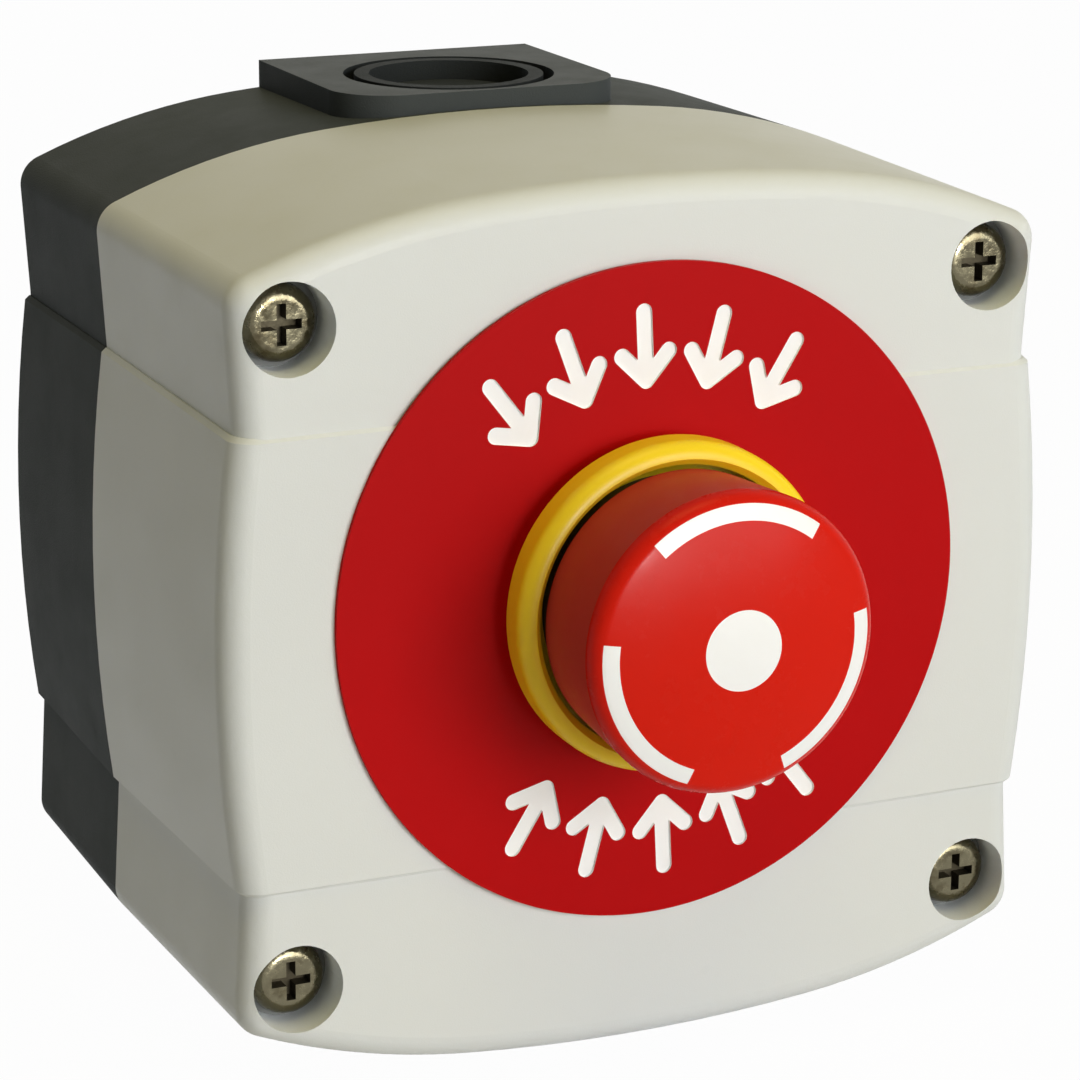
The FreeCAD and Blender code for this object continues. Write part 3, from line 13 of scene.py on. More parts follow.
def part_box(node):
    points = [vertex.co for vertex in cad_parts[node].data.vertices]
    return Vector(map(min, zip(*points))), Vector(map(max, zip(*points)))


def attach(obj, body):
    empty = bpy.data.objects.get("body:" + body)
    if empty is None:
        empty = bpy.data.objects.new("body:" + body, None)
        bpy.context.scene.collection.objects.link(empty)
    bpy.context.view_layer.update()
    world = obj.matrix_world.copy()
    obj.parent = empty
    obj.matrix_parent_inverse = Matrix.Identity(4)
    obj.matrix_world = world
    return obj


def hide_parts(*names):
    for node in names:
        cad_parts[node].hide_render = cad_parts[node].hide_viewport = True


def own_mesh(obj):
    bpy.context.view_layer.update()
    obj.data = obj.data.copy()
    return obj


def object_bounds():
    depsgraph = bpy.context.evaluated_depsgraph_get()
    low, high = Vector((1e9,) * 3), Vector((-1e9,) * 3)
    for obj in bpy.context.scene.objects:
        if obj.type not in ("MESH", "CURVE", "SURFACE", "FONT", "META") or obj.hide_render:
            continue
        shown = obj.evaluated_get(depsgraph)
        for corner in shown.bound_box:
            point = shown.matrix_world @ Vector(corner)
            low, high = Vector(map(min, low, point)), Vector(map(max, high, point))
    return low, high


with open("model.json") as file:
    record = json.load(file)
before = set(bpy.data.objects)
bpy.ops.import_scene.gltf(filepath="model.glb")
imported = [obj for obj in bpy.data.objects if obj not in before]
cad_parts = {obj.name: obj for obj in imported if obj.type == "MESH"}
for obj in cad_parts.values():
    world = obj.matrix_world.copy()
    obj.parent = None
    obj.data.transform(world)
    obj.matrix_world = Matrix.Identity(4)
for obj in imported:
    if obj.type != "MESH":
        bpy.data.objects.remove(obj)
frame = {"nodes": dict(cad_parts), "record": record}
cad_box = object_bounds()
nodes = frame["nodes"]
slot_of = {part["node"]: part["material_slot"] for part in frame["record"]["subparts"]}
body_of = {name: body for body, names in frame["record"]["behaviour"]["bodies"].items()
           for name in names}

# The sizes of the object are in millimetres and its angles in degrees. A depth is a distance from
# the wall, which lies at y = 0.
MM = 0.001
SLACK = 0.01

# The label, and with its back the cover's front face
LABEL_LOW, LABEL_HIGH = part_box("label_disc")
AXIS_Z = (LABEL_LOW.z + LABEL_HIGH.z) / 2 / MM
LABEL_FRONT = -LABEL_LOW.y / MM
LABEL_BACK = -LABEL_HIGH.y / MM
LABEL_RADIUS = (LABEL_HIGH.x - LABEL_LOW.x) / 2 / MM
LABEL_BORE = 11.1
LABEL_SIDES = 256
BORE_SIDES = 128

# The arrows on the label, in two arcs of five, which all point at the button
ARROW_MIDDLES = (93.0, 273.0)
ARROW_STEP = 17.4
ARROW_TIP = 20.6
ARROW_TAIL = 27.0
BARB_ACROSS = 2.35
BARB_BACK = 2.5
STROKE_WIDTH = 1.6
STROKE_STEPS = 10
STROKE_NEAR = 0.02
ENGRAVED = 0.22

# The button's head: a domed face with a round rim, on a skirt
HEAD_LOW, HEAD_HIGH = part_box("button_head")
HEAD_FRONT = -HEAD_LOW.y / MM
HEAD_BACK = -HEAD_HIGH.y / MM
HEAD_RADIUS = (HEAD_HIGH.x - HEAD_LOW.x) / 2 / MM
HEAD_THICK = 2.9
HEAD_UNDER = HEAD_FRONT - HEAD_THICK
HUB_RADIUS = 4.6
SKIRT_RADIUS = 13.35
SKIRT_WALL = 1.1
SKIRT_EDGE = 0.15
DOME_RADIUS = 60.0
DOME_MIDDLE = HEAD_FRONT - DOME_RADIUS
RIM_RADIUS = 1.7
RIM_MIDDLE = HEAD_RADIUS - RIM_RADIUS
RIM_RISE = math.sqrt((DOME_RADIUS - RIM_RADIUS) ** 2 - RIM_MIDDLE ** 2)
RIM_START = DOME_MIDDLE + RIM_RISE
RIM_STEPS = 14
HEAD_SIDES = 240
SHARP_ANGLE = 35

# The print on the head: a dot and three arcs
DOT_RADIUS = 3.75
ARC_INNER = 11.65
ARC_OUTER = 13.15
ARC_START = 52.5
ARC_TURN = 76.5
ARC_PITCH = 120.0
FACE_RINGS = (12.1, ARC_INNER, 10.0, 8.0, 6.0, DOT_RADIUS, 1.8)

# The corner screws, with their cross recesses and the seats that they lie in. What lies within
# the skin behind a flat front belongs to that front.
SCREW_LOW, SCREW_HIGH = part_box("cover_screws")
SCREW_HEAD = 3.6
SCREW_X = SCREW_HIGH.x / MM - SCREW_HEAD
SCREW_Z = SCREW_HIGH.z / MM - SCREW_HEAD
SCREW_FRONT = -SCREW_LOW.y / MM
CROSS_REACH = 2.1
CROSS_DEPTH = 1.6
SEAT_REACH = 4.35
SEAT_DEPTH = 5.0
SEAT_SLACK = 0.1
SKIN = 0.03

# The knockouts, one in the top of the box and one in the bottom, each in a flat raised boss
BOSS_TOP = cad_box[1][2] / MM
KNOCKOUT_DEPTH = 15.0
KNOCKOUT_RADIUS = 10.8
KNOCKOUT_SUNK = 3.5


# Node materials

# Where a Mix node keeps its two colours and their mix
MIX_COLOURS = slice(6, 8)
MIX_RESULT = 2

# What handling marks take off a plastic's tone, as a multiple of its mottle, and what a stain
# leaves of a metal's colour
MARKS_DARKER = 2.4
STAIN = (0.3, 0.24, 0.16)


class Shader:
    """A Principled material and the few kinds of node that the surfaces share."""

    def __init__(self, name, colour, rough, **sockets):
        self.material = bpy.data.materials.new(name)
        self.material.use_nodes = True
        self.tree = self.material.node_tree
        self.tree.nodes.clear()
        self.output = self.node("ShaderNodeOutputMaterial")
        self.base = self.node("ShaderNodeBsdfPrincipled")
        self.link(self.base.outputs["BSDF"], self.output.inputs["Surface"])
        self.base.inputs["Base Color"].default_value = (*colour, 1)
        self.base.inputs["Roughness"].default_value = rough
        for socket, value in sockets.items():
            self.base.inputs[socket.replace("_", " ")].default_value = value
        self.place = self.node("ShaderNodeTexCoord").outputs["Object"]

    def node(self, kind, **settings):
        made = self.tree.nodes.new(kind)
        for name, value in settings.items():
            setattr(made, name, value)
        return made

    def link(self, source, target):
        self.tree.links.new(source, target)

    def stretched(self, x, y, z):
        """The object's coordinates, scaled along each axis."""
        mapping = self.node("ShaderNodeMapping")
        mapping.inputs["Scale"].default_value = (x, y, z)
        self.link(self.place, mapping.inputs["Vector"])
        return mapping.outputs["Vector"]

    def noise(self, scale, detail, rough, place=None):
        made = self.node("ShaderNodeTexNoise")
        made.inputs["Scale"].default_value = scale
        made.inputs["Detail"].default_value = detail
        made.inputs["Roughness"].default_value = rough
        self.link(place or self.place, made.inputs["Vector"])
        return made.outputs["Fac"]

    def ramp(self, value, low, high, dark=0.0, bright=1.0):
        """A value between low and high, spread over dark to bright."""
        made = self.node("ShaderNodeMapRange", interpolation_type="SMOOTHSTEP")
        for socket, number in zip(("From Min", "From Max", "To Min", "To Max"),
                                  (low, high, dark, bright)):
            made.inputs[socket].default_value = number
        self.link(value, made.inputs["Value"])
        return made.outputs["Result"]

    def mix(self, share, first, second):
        """Two colours, mixed by a share; each is a colour or a socket."""
        made = self.node("ShaderNodeMix", data_type="RGBA")
        self.link(share, made.inputs["Factor"])
        for socket, colour in zip(made.inputs[MIX_COLOURS], (first, second)):
            if isinstance(colour, tuple):
                socket.default_value = (*colour, 1)
            else:
                self.link(colour, socket)
        return made.outputs[MIX_RESULT]

    def paint(self, colour):
        self.link(colour, self.base.inputs["Base Color"])

    def gloss(self, value):
        self.link(value, self.base.inputs["Roughness"])

    def bump(self, height, depth):
        """A height between 0 and 1, raised by a depth in metres."""
        made = self.node("ShaderNodeBump")
        made.inputs["Strength"].default_value = 1.0
        made.inputs["Distance"].default_value = depth
        self.link(height, made.inputs["Height"])
        self.link(made.outputs["Normal"], self.base.inputs["Normal"])


looks = {}


def shade(colour, factor):
    return tuple(min(1.0, channel * factor) for channel in colour)


def plastic(name, colour, rough, grain=7200, depth=0.00002, mottle=0.05, **sockets):
    """Moulded plastic: faint cloudy tone, sparse handling marks and a fine moulded grain."""
    shader = Shader(name, colour, rough, **sockets)
    clouds = shader.noise(scale=18, detail=3.0, rough=0.5)
    marks = shader.noise(scale=160, detail=6.0, rough=0.7)
    tone = shader.mix(shader.ramp(clouds, low=0.35, high=0.65),
                      shade(colour, 1 - mottle), shade(colour, 1 + mottle))
    shader.paint(shader.mix(shader.ramp(marks, low=0.62, high=0.72, bright=0.5), tone,
                            shade(colour, 1 - MARKS_DARKER * mottle)))
    shader.gloss(shader.ramp(marks, low=0.35, high=0.7, dark=rough - 0.03, bright=rough + 0.05))
    shader.bump(shader.noise(scale=grain, detail=2.0, rough=0.5), depth)
    looks[name] = shader.material


def metal(name, colour, rough, brushed=(1, 1, 1), tarnish=0.35, depth=0.000006):
    """Plated or drawn metal: fine directional scratches and a little stain."""
    shader = Shader(name, colour, rough, Metallic=1.0)
    scratches = shader.noise(scale=4000, detail=3.0, rough=0.6, place=shader.stretched(*brushed))
    blots = shader.noise(scale=420, detail=5.0, rough=0.65)
    shader.paint(shader.mix(shader.ramp(blots, low=0.45, high=0.7, bright=tarnish), colour,
                            tuple(channel * share for channel, share in zip(colour, STAIN))))
    shader.gloss(shader.ramp(scratches, low=0.3, high=0.7, dark=rough - 0.08, bright=rough + 0.12))
    shader.bump(scratches, depth)
    looks[name] = shader.material


COVER_GREY = (0.72, 0.74, 0.71)
BASE_GREY = (0.066, 0.074, 0.075)
LABEL_RED = (0.465, 0.003, 0.004)
HEAD_RED = (0.66, 0.012, 0.003)
# The head's side: its red painted duller and browner, as painted shade and reflection
HEAD_SIDE_SHADED_RED = (0.50, 0.045, 0.03)
PRINT_WHITE = (0.92, 0.92, 0.90)
YELLOW = (1.0, 0.72, 0.015)

# The outside, one look for each slot of the record
plastic("base_plastic", BASE_GREY, rough=0.5, grain=5600, depth=0.00004, mottle=0.08,
        Specular_IOR_Level=0.01)
plastic("cover_plastic", COVER_GREY, rough=0.42, depth=0.000012, mottle=0.012,
        Specular_IOR_Level=0.16)
plastic("label_red", LABEL_RED, rough=0.42, depth=0.000008, mottle=0.02, Specular_IOR_Level=0.04)
plastic("collar_yellow", YELLOW, rough=0.34, depth=0.000006, mottle=0.04, Specular_IOR_Level=0.25)
plastic("head_red", HEAD_RED, rough=0.25, depth=0.000006, mottle=0.01, Specular_IOR_Level=0.08)
metal("screw_zinc", (0.16, 0.144, 0.092), rough=0.2, brushed=(0.3, 0.3, 0.3), tarnish=0.65,
      depth=0.00006)

# The inside
plastic("seal_rubber", (0.02, 0.02, 0.021), rough=0.7)
plastic("black_plastic", (0.03, 0.03, 0.031), rough=0.45)
plastic("block_grey", (0.3, 0.31, 0.32), rough=0.45)
plastic("board_green", (0.02, 0.16, 0.06), rough=0.3, grain=2400, depth=0.00003, mottle=0.1)
plastic("chip_ceramic", (0.09, 0.085, 0.08), rough=0.55)
plastic("terminal_green", (0.03, 0.28, 0.1), rough=0.4)
plastic("wire_red", (0.5, 0.01, 0.01), rough=0.4)
plastic("wire_black", (0.02, 0.02, 0.02), rough=0.4)
metal("spring_steel", (0.6, 0.6, 0.6), rough=0.28, tarnish=0.1)
metal("contact_brass", (0.72, 0.52, 0.24), rough=0.3)
metal("can_metal", (0.7, 0.7, 0.7), rough=0.35, brushed=(1, 8, 1), tarnish=0.1)
metal("antenna_copper", (0.75, 0.38, 0.2), rough=0.3)
metal("battery_steel", (0.66, 0.66, 0.66), rough=0.25, tarnish=0.08)

# Looks for some faces of a piece: the print, and the rest painted shade, light and sheen
plastic("print_white", PRINT_WHITE, rough=0.38, depth=0.000006, mottle=0.012)
# The skirt and the underside of the head: its red painted duller and browner, as painted shade and
# reflection
plastic("head_side_shaded", HEAD_SIDE_SHADED_RED, rough=0.45, depth=0.000006, mottle=0.02,
        Specular_IOR_Level=0.1)
# The walls of the screw seats: the cover's grey painted lighter and cooler, as painted light
plastic("seat_wall_painted_light", (0.82, 0.86, 0.88), rough=0.5, depth=0.000012, mottle=0.06,
        Specular_IOR_Level=0.1)
# The floors of the screw seats: the cover's grey painted darker, as painted shade
plastic("seat_floor_shaded", shade(COVER_GREY, 0.38), rough=0.5, depth=0.000012, mottle=0.06,
        Specular_IOR_Level=0.1)
# The tops of the bosses: smoother than the box and painted lighter, as a painted sheen
plastic("base_smooth_and_sheen", shade(BASE_GREY, 1.15), rough=0.42, grain=5600, mottle=0.06,
        Specular_IOR_Level=0.018)
# The knockouts: the box's grey painted darker, as painted shade
plastic("base_knockout_shaded", shade(BASE_GREY, 0.55), rough=0.5, grain=5600, depth=0.00004, mottle=0.1,
        Specular_IOR_Level=0.01)
# The cross recesses of the screws: the zinc painted darker, as painted shade
metal("screw_cross_shaded", (0.06, 0.052, 0.034), rough=0.5)

for node_name, node in nodes.items():
    node.data.materials.clear()
    node.data.materials.append(looks[slot_of[node_name]])


# Faces of the solids with a look of their own: painted shade, painted light and a painted sheen


def repaint(name, look, chosen):
    """Gives a look to those faces of a node that are chosen by their corners, in millimetres."""
    node = nodes[name]
    node.data.materials.append(looks[look])
    spots = [node.matrix_world @ vert.co / MM for vert in node.data.vertices]
    for face in node.data.polygons:
        if chosen([spots[index] for index in face.vertices]):
            face.material_index = len(node.data.materials) - 1


def round_screws(reach, front, low, high):
    """Chooses faces within reach of a screw's axis, from low to high behind a depth."""
    def chosen(corners):
        behind = front + sum(corner.y for corner in corners) / len(corners)
        return low < behind < high and all(
            math.hypot(abs(corner.x) - SCREW_X, abs(corner.z) - SCREW_Z) < reach
            for corner in corners)
    return chosen


def in_knockout(corners):
    """Chooses the faces of the knockouts in the top and the bottom of the box."""
    return all(abs(corner.z) > BOSS_TOP - KNOCKOUT_SUNK
               and math.hypot(corner.x, corner.y + KNOCKOUT_DEPTH) < KNOCKOUT_RADIUS
               for corner in corners)


def on_boss(corners):
    """Chooses the flat tops of the bosses round the knockouts."""
    return all(abs(corner.z) > BOSS_TOP - SLACK for corner in corners)


# The cross recess and the floor of the seat of each corner screw are painted darker than what
# they are cut into, as painted shade, and the wall of the seat is painted lighter and cooler than
# the cover, as painted light
repaint("cover_screws", "screw_cross_shaded", round_screws(CROSS_REACH, SCREW_FRONT, SKIN, CROSS_DEPTH))
repaint("front_cover", "seat_wall_painted_light",
        round_screws(SEAT_REACH, LABEL_BACK, SKIN, SEAT_DEPTH - SEAT_SLACK))
repaint("front_cover", "seat_floor_shaded",
        round_screws(SEAT_REACH, LABEL_BACK, SEAT_DEPTH - SEAT_SLACK, SEAT_DEPTH + SEAT_SLACK))

# The bosses' tops are smoother than the box and painted lighter, as a painted sheen, and their
# knockouts are painted darker, as painted shade
repaint("rear_box", "base_smooth_and_sheen", on_boss)
repaint("rear_box", "base_knockout_shaded", in_knockout)


# Mesh helpers


def in_frame(x, depth, z):
    """A point given by its place across, its depth and its height, in metres."""
    return Vector((x * MM, -depth * MM, z * MM))


def as_mesh(name, form):
    """A new mesh made from a bmesh, which is freed."""
    mesh = bpy.data.meshes.new(name)
    form.to_mesh(mesh)
    form.free()
    return mesh


def placed(name, data):
    """A new object in the scene."""
    made = bpy.data.objects.new(name, data)
    bpy.context.scene.collection.objects.link(made)
    return made


def finished(name, mesh, mesh_looks, like):
    """An object that stands for one CAD node, on its body and with its material slot."""
    piece = placed(name, mesh)
    for look in mesh_looks:
        mesh.materials.append(looks[look])
    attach(piece, body_of[like])
    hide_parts(like)
    return piece


# The places of the looks in the label's and the head's meshes; the head's side look is painted
# shade and reflection
RED, WHITE, SIDE = range(3)


# The label: a red sheet engraved through to its white core

# The place of the label's bore among its loops: the rim comes before it, the arrows after it
BORE = 1
TRIANGLES_INSIDE = 1
LOOPS_NEAR = 1e-5
WELD = 1e-7


def turned_left(way):
    return Vector((-way.y, way.x))


def stroke(points, width):
    """The outline of a line of one width with round ends and joins, as a list of points."""
    half = width / 2
    shares = [step / STROKE_STEPS for step in range(STROKE_STEPS + 1)]
    outline = []
    ways = [(Vector(b) - Vector(a)).normalized() for a, b in zip(points, points[1:])]
    for line, line_ways in ((points, ways), (points[::-1], [-way for way in ways[::-1]])):
        for index, way in enumerate(line_ways):
            left = turned_left(way)
            start = Vector(line[index])
            end = Vector(line[index + 1])
            outline.append(start + left * half)
            if index + 1 < len(line_ways):
                turn = way.angle_signed(line_ways[index + 1])
                following = turned_left(line_ways[index + 1])
                if turn > 0:
                    for share in shares:
                        mixed = (left * (1 - share) + following * share).normalized()
                        outline.append(end + mixed * half)
                else:
                    inward = (left + following).normalized()
                    outline.append(end + inward * half / inward.dot(left))
            else:
                for share in shares:
                    angle = math.pi * share
                    outline.append(end + left * half * math.cos(angle)
                                   + way * half * math.sin(angle))
        outline.pop()
    cleaned = []
    for point in outline[::-1]:
        if not cleaned or (point - cleaned[-1]).length > STROKE_NEAR:
            cleaned.append(point)
    return cleaned


def circle(radius, sides):
    angles = [2 * math.pi * side / sides for side in range(sides)]
    return [Vector((radius * math.cos(angle), radius * math.sin(angle))) for angle in angles]


def arrow(angle):
    """The two strokes of an arrow that points at the button, on the ray at an angle."""
    out = Vector((math.cos(angle), math.sin(angle)))
    across = turned_left(out)
    barb = out * (ARROW_TIP + BARB_BACK)
    return [stroke([barb - across * BARB_ACROSS, out * ARROW_TIP, barb + across * BARB_ACROSS],
                   STROKE_WIDTH),
            stroke([out * (ARROW_TIP + STROKE_WIDTH / 4), out * ARROW_TAIL], STROKE_WIDTH)]


def label_loops():
    """The outlines on the label's face: its rim, its bore and the strokes of the arrows."""
    loops = [circle(LABEL_RADIUS, LABEL_SIDES), circle(LABEL_BORE, BORE_SIDES)]
    for middle in ARROW_MIDDLES:
        for step in (-2, -1, 0, 1, 2):
            loops.extend(arrow(math.radians(middle + step * ARROW_STEP)))
    return loops


def engraved_label():
    """The label's mesh: its face cut along the loops, with what lies in an arrow sunk."""
    points, outlines = [], []
    for loop in label_loops():
        outlines.append(list(range(len(points), len(points) + len(loop))))
        points.extend(loop)
    flat, _, triangles, _, _, origins = delaunay_2d_cdt(points, [], outlines, TRIANGLES_INSIDE,
                                                        LOOPS_NEAR, True)
    sheet = bmesh.new()

    def corner(index, depth):
        return sheet.verts.new(in_frame(flat[index].x, depth, flat[index].y + AXIS_Z))

    top = [corner(index, LABEL_FRONT) for index in range(len(flat))]
    sunk_at = {}

    def sunk(index):
        if index not in sunk_at:
            sunk_at[index] = corner(index, LABEL_FRONT - ENGRAVED)
        return sunk_at[index]

    edges = {}
    for triangle, origin in zip(triangles, origins):
        if BORE in origin:
            continue
        marked = any(index > BORE for index in origin)
        face = sheet.faces.new([sunk(index) if marked else top[index] for index in triangle])
        face.material_index = WHITE if marked else RED
        for first, second in zip(triangle, (*triangle[1:], triangle[0])):
            edges.setdefault(frozenset((first, second)), []).append((marked, first, second))

    # A wall goes down where an arrow begins, and at the label's rim and bore
    for users in edges.values():
        if len({marked for marked, _, _ in users}) == 2:
            _, first, second = next(user for user in users if not user[0])
            wall = sheet.faces.new([top[second], top[first], sunk(first), sunk(second)])
            wall.material_index = WHITE
        elif len(users) == 1:
            _, first, second = users[0]
            sheet.faces.new([top[second], top[first],
                             corner(first, LABEL_BACK), corner(second, LABEL_BACK)])
    bmesh.ops.remove_doubles(sheet, verts=sheet.verts, dist=WELD)
    loose = [vert for vert in sheet.verts if not vert.link_faces]
    bmesh.ops.delete(sheet, geom=loose, context="VERTS")

    # The two open loops left are joined by the back
    bmesh.ops.bridge_loops(sheet, edges=[edge for edge in sheet.edges if edge.is_boundary])
    bmesh.ops.recalc_face_normals(sheet, faces=sheet.faces)
    return as_mesh("engraved_label", sheet)


finished("label_engraved", engraved_label(), ["label_red", "print_white"], "label_disc")


# The red head: a turned shell whose white print lies in the surface

Ring = namedtuple("Ring", "radius depth")


def head_rings():
    """The head's rings, from the hub under its face, round the skirt and the rim to the dot."""
    skirt_inner = SKIRT_RADIUS - SKIRT_WALL
    rings = [Ring(HUB_RADIUS, HEAD_UNDER), Ring(skirt_inner, HEAD_UNDER),
             Ring(skirt_inner, HEAD_BACK), Ring(SKIRT_RADIUS - SKIRT_EDGE, HEAD_BACK),
             Ring(SKIRT_RADIUS, HEAD_BACK + SKIRT_EDGE)]
    steepest = math.atan2(RIM_RISE, RIM_MIDDLE)
    print_edge = math.acos((ARC_OUTER - RIM_MIDDLE) / RIM_RADIUS)
    turns = {round(steepest * step / RIM_STEPS, 6) for step in range(RIM_STEPS + 1)}
    for turn in sorted(turns | {print_edge}):
        rings.append(Ring(RIM_MIDDLE + RIM_RADIUS * math.cos(turn),
                          RIM_START + RIM_RADIUS * math.sin(turn)))
    for radius in FACE_RINGS:
        rings.append(Ring(radius, DOME_MIDDLE + math.sqrt(DOME_RADIUS ** 2 - radius ** 2)))
    return rings


def head_mesh():
    """The head's mesh, with its face, its print and its side in painted shade and reflection."""
    segment = 360 / HEAD_SIDES
    around = [math.radians(ARC_START + segment * step) for step in range(HEAD_SIDES)]
    shell = bmesh.new()
    rings = head_rings()
    rows = [[shell.verts.new(in_frame(ring.radius * math.cos(angle), ring.depth,
                                      ring.radius * math.sin(angle) + AXIS_Z))
             for angle in around] for ring in rings]
    for outer, inner, outer_row, inner_row in zip(rings, rings[1:], rows, rows[1:]):
        # The skirt and the underside take the side look, which is painted shade and reflection
        on_shaded_side = inner.depth < RIM_START + SLACK
        in_dot = outer.radius < DOT_RADIUS + SLACK
        in_arcs = (outer.depth > HEAD_UNDER and inner.radius > ARC_INNER - SLACK
                   and outer.radius < ARC_OUTER + SLACK)
        for step in range(HEAD_SIDES):
            following = (step + 1) % HEAD_SIDES
            face = shell.faces.new([outer_row[step], outer_row[following],
                                    inner_row[following], inner_row[step]])
            in_arc = in_arcs and (step * segment) % ARC_PITCH < ARC_TURN
            face.material_index = SIDE if on_shaded_side else WHITE if in_dot or in_arc else RED
    tip = shell.verts.new(in_frame(0, HEAD_FRONT, AXIS_Z))
    for step in range(HEAD_SIDES):
        face = shell.faces.new([rows[-1][step], rows[-1][(step + 1) % HEAD_SIDES], tip])
        face.material_index = WHITE
    bmesh.ops.recalc_face_normals(shell, faces=shell.faces)
    mesh = as_mesh("head", shell)
    mesh.shade_smooth()
    mesh.set_sharp_from_angle(angle=math.radians(SHARP_ANGLE))
    return mesh


finished("head_with_print", head_mesh(), ["head_red", "print_white", "head_side_shaded"], "button_head")


# The springs, which a press shortens: each is a copy of its node's mesh on the node's body, which
# keeps its shape


def shortened(name):
    """A copy of a spring's mesh that stands for the spring, on the spring's body."""
    coil = finished(name + "_coil", nodes[name].data.copy(), [], name)
    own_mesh(coil)


shortened("return_spring")
shortened("contact_spring")


# The floor and the world: white where the camera, a mirror or glass sees them. Sizes from here on
# are in metres.

FLOOR_DROP = 0.0001
FLOOR_REACH = 3.0
FLOOR_CUTS = 3
FLOOR_COLOUR = (0.66, 0.68, 0.74)
FLOOR_CLOUDS = ((0.65, 0.67, 0.74), (0.68, 0.70, 0.77))
FLOOR_GLOW = 0.975
WORLD_FILL = 0.055


def floor_mesh():
    sheet = bmesh.new()
    height = cad_box[0][2] - FLOOR_DROP
    corners = [sheet.verts.new((x * FLOOR_REACH, y * FLOOR_REACH, height))
               for x, y in ((-1, -1), (1, -1), (1, 1), (-1, 1))]
    sheet.faces.new(corners)
    bmesh.ops.subdivide_edges(sheet, edges=sheet.edges, cuts=FLOOR_CUTS, use_grid_fill=True)
    return as_mesh("floor", sheet)


def behind_rays(tree):
    """The share of rays that come from the camera, a mirror or glass."""
    path = tree.nodes.new("ShaderNodeLightPath")
    total = path.outputs["Is Camera Ray"]
    for name in ("Is Glossy Ray", "Is Transmission Ray"):
        adding = tree.nodes.new("ShaderNodeMath")
        adding.operation = "MAXIMUM"
        tree.links.new(total, adding.inputs[0])
        tree.links.new(path.outputs[name], adding.inputs[1])
        total = adding.outputs["Value"]
    return total


def floor_look():
    """A pale matt floor that nearly glows white for those rays, so that shadows stay faint."""
    shader = Shader("floor_pale", FLOOR_COLOUR, rough=0.8)
    clouds = shader.noise(scale=3.0, detail=2.0, rough=0.6)
    shader.paint(shader.mix(shader.ramp(clouds, low=0.3, high=0.7), *FLOOR_CLOUDS))
    glow = shader.node("ShaderNodeEmission")
    glow.inputs["Color"].default_value = (1, 1, 1, 1)
    glow.inputs["Strength"].default_value = 1.0
    share = shader.node("ShaderNodeMath", operation="MULTIPLY")
    share.inputs[1].default_value = FLOOR_GLOW
    blend = shader.node("ShaderNodeMixShader")
    shader.link(behind_rays(shader.tree), share.inputs[0])
    shader.link(share.outputs["Value"], blend.inputs["Fac"])
    shader.link(shader.base.outputs["BSDF"], blend.inputs[1])
    shader.link(glow.outputs["Emission"], blend.inputs[2])
    shader.link(blend.outputs["Shader"], shader.output.inputs["Surface"])
    return shader.material


def background(tree, strength):
    made = tree.nodes.new("ShaderNodeBackground")
    made.inputs["Color"].default_value = (1, 1, 1, 1)
    made.inputs["Strength"].default_value = strength
    return made.outputs["Background"]


def studio_world():
    """A world that is white for those rays and lights the object faintly."""
    world = bpy.data.worlds.new("studio")
    world.use_nodes = True
    tree = world.node_tree
    tree.nodes.clear()
    blend = tree.nodes.new("ShaderNodeMixShader")
    tree.links.new(behind_rays(tree), blend.inputs["Fac"])
    tree.links.new(background(tree, WORLD_FILL), blend.inputs[1])
    tree.links.new(background(tree, 1.0), blend.inputs[2])
    output = tree.nodes.new("ShaderNodeOutputWorld")
    tree.links.new(blend.outputs["Shader"], output.inputs["Surface"])
    return world


floor = placed("floor", floor_mesh())
floor.data.materials.append(floor_look())
bpy.context.scene.world = studio_world()


# The lamps and the camera

LAMPS_AIM = Vector((0, -0.032, 0))


def facing(azimuth, elevation):
    """The way from the object to a place seen at two angles."""
    a, e = math.radians(azimuth), math.radians(elevation)
    return Vector((math.sin(a) * math.cos(e), -math.cos(a) * math.cos(e), math.sin(e)))


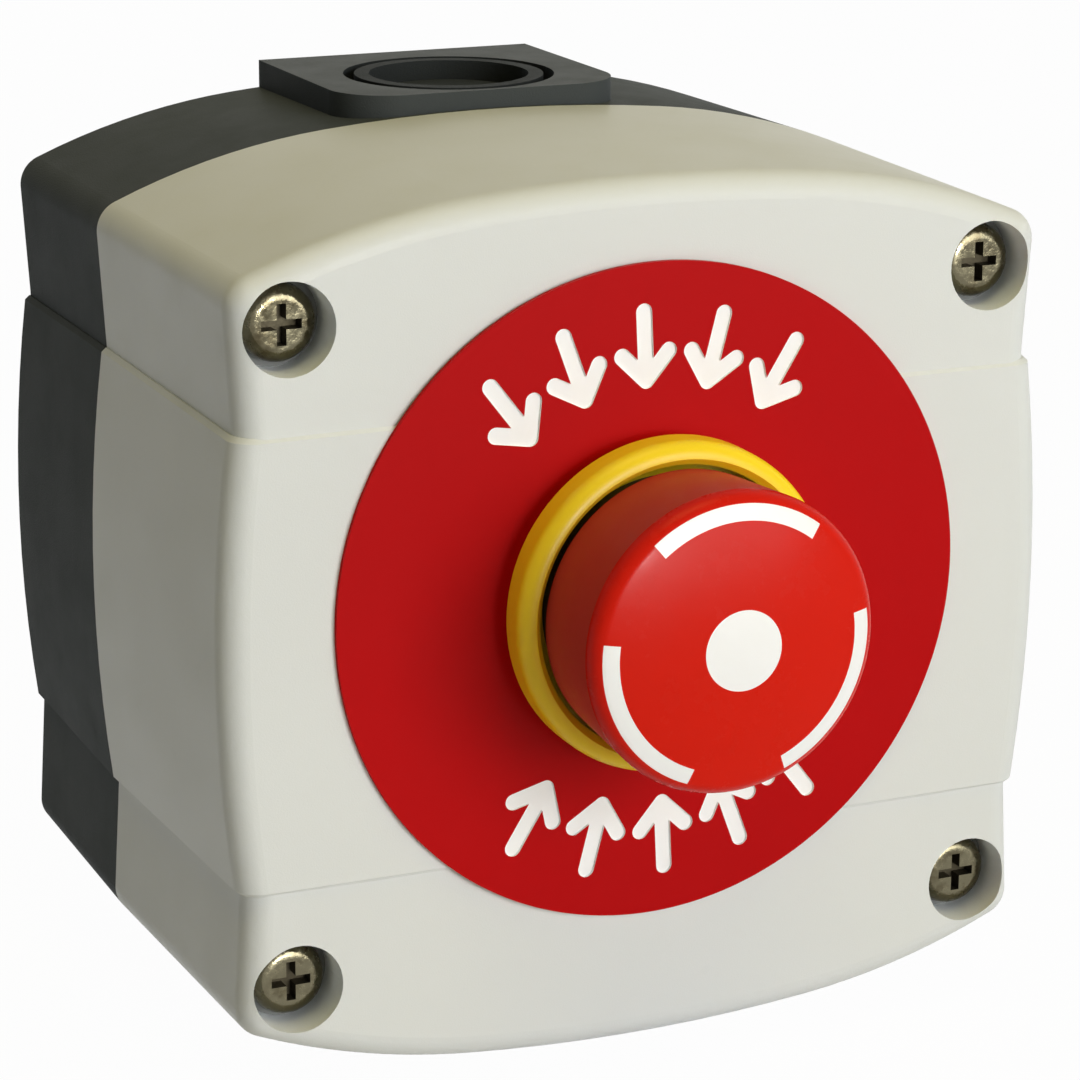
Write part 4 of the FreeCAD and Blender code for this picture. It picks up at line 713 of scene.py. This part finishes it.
def lamp(name, azimuth, elevation, distance, size, power, colour=(1, 1, 1)):
    """A soft square lamp that looks at the middle of the object."""
    light = bpy.data.lights.new(name, "AREA")
    light.shape = "SQUARE"
    light.size = size
    light.energy = power
    light.color = colour
    stand = placed(name, light)
    way = facing(azimuth, elevation)
    stand.location = LAMPS_AIM + way * distance
    stand.rotation_euler = way.to_track_quat("Z", "Y").to_euler()
    return stand


lamp("key", azimuth=20, elevation=11, distance=1.0, size=0.6, power=7.75)
lamp("top", azimuth=-10, elevation=76, distance=0.8, size=0.4, power=1.9,
     colour=(1.0, 0.84, 0.32))
back_lamp = lamp("back", azimuth=178, elevation=12, distance=1.2, size=0.6, power=3.0)
back_lamp.visible_glossy = False
glint_lamp = lamp("glint", azimuth=3, elevation=6, distance=1.0, size=0.14, power=5)
glint_lamp.visible_diffuse = False

# The camera looks from the left and a little above at the middle of the cover's front. The shifts
# move it across its own view. Its lengths are in millimetres, apart from the focal length, which
# is in pixels of the photograph.
CAMERA_AZIMUTH, CAMERA_ELEVATION, CAMERA_ROLL = -23.99, 16.16, 0.3
CAMERA_AIM = Vector((0, -64.0, 0))
CAMERA_DISTANCE, CAMERA_SHIFT_X, CAMERA_SHIFT_Z = 346.5, -10.376, 7.751
PHOTO_PIXELS = 1080
FOCAL_PIXELS = 3723.0
SENSOR = 36.0


def camera_frame():
    """Where the camera stands and how it is turned."""
    back = facing(CAMERA_AZIMUTH, CAMERA_ELEVATION)
    level = Vector((0, 0, 1)).cross(back).normalized()
    upright = back.cross(level)
    roll = math.radians(CAMERA_ROLL)
    right = math.cos(roll) * level + math.sin(roll) * upright
    up = -math.sin(roll) * level + math.cos(roll) * upright
    stand = (back * CAMERA_DISTANCE + right * CAMERA_SHIFT_X + up * CAMERA_SHIFT_Z
             + CAMERA_AIM) * MM
    return Matrix.Translation(stand) @ Matrix((right, up, back)).transposed().to_4x4()


camera_data = bpy.data.cameras.new("camera")
camera_data.sensor_width = SENSOR
camera_data.lens = FOCAL_PIXELS / PHOTO_PIXELS * SENSOR
camera_data.clip_start = 0.01
camera_data.clip_end = 50.0
camera = placed("camera", camera_data)
camera.matrix_world = camera_frame()
bpy.context.scene.camera = camera
bpy.context.scene.view_settings.view_transform = "Standard"
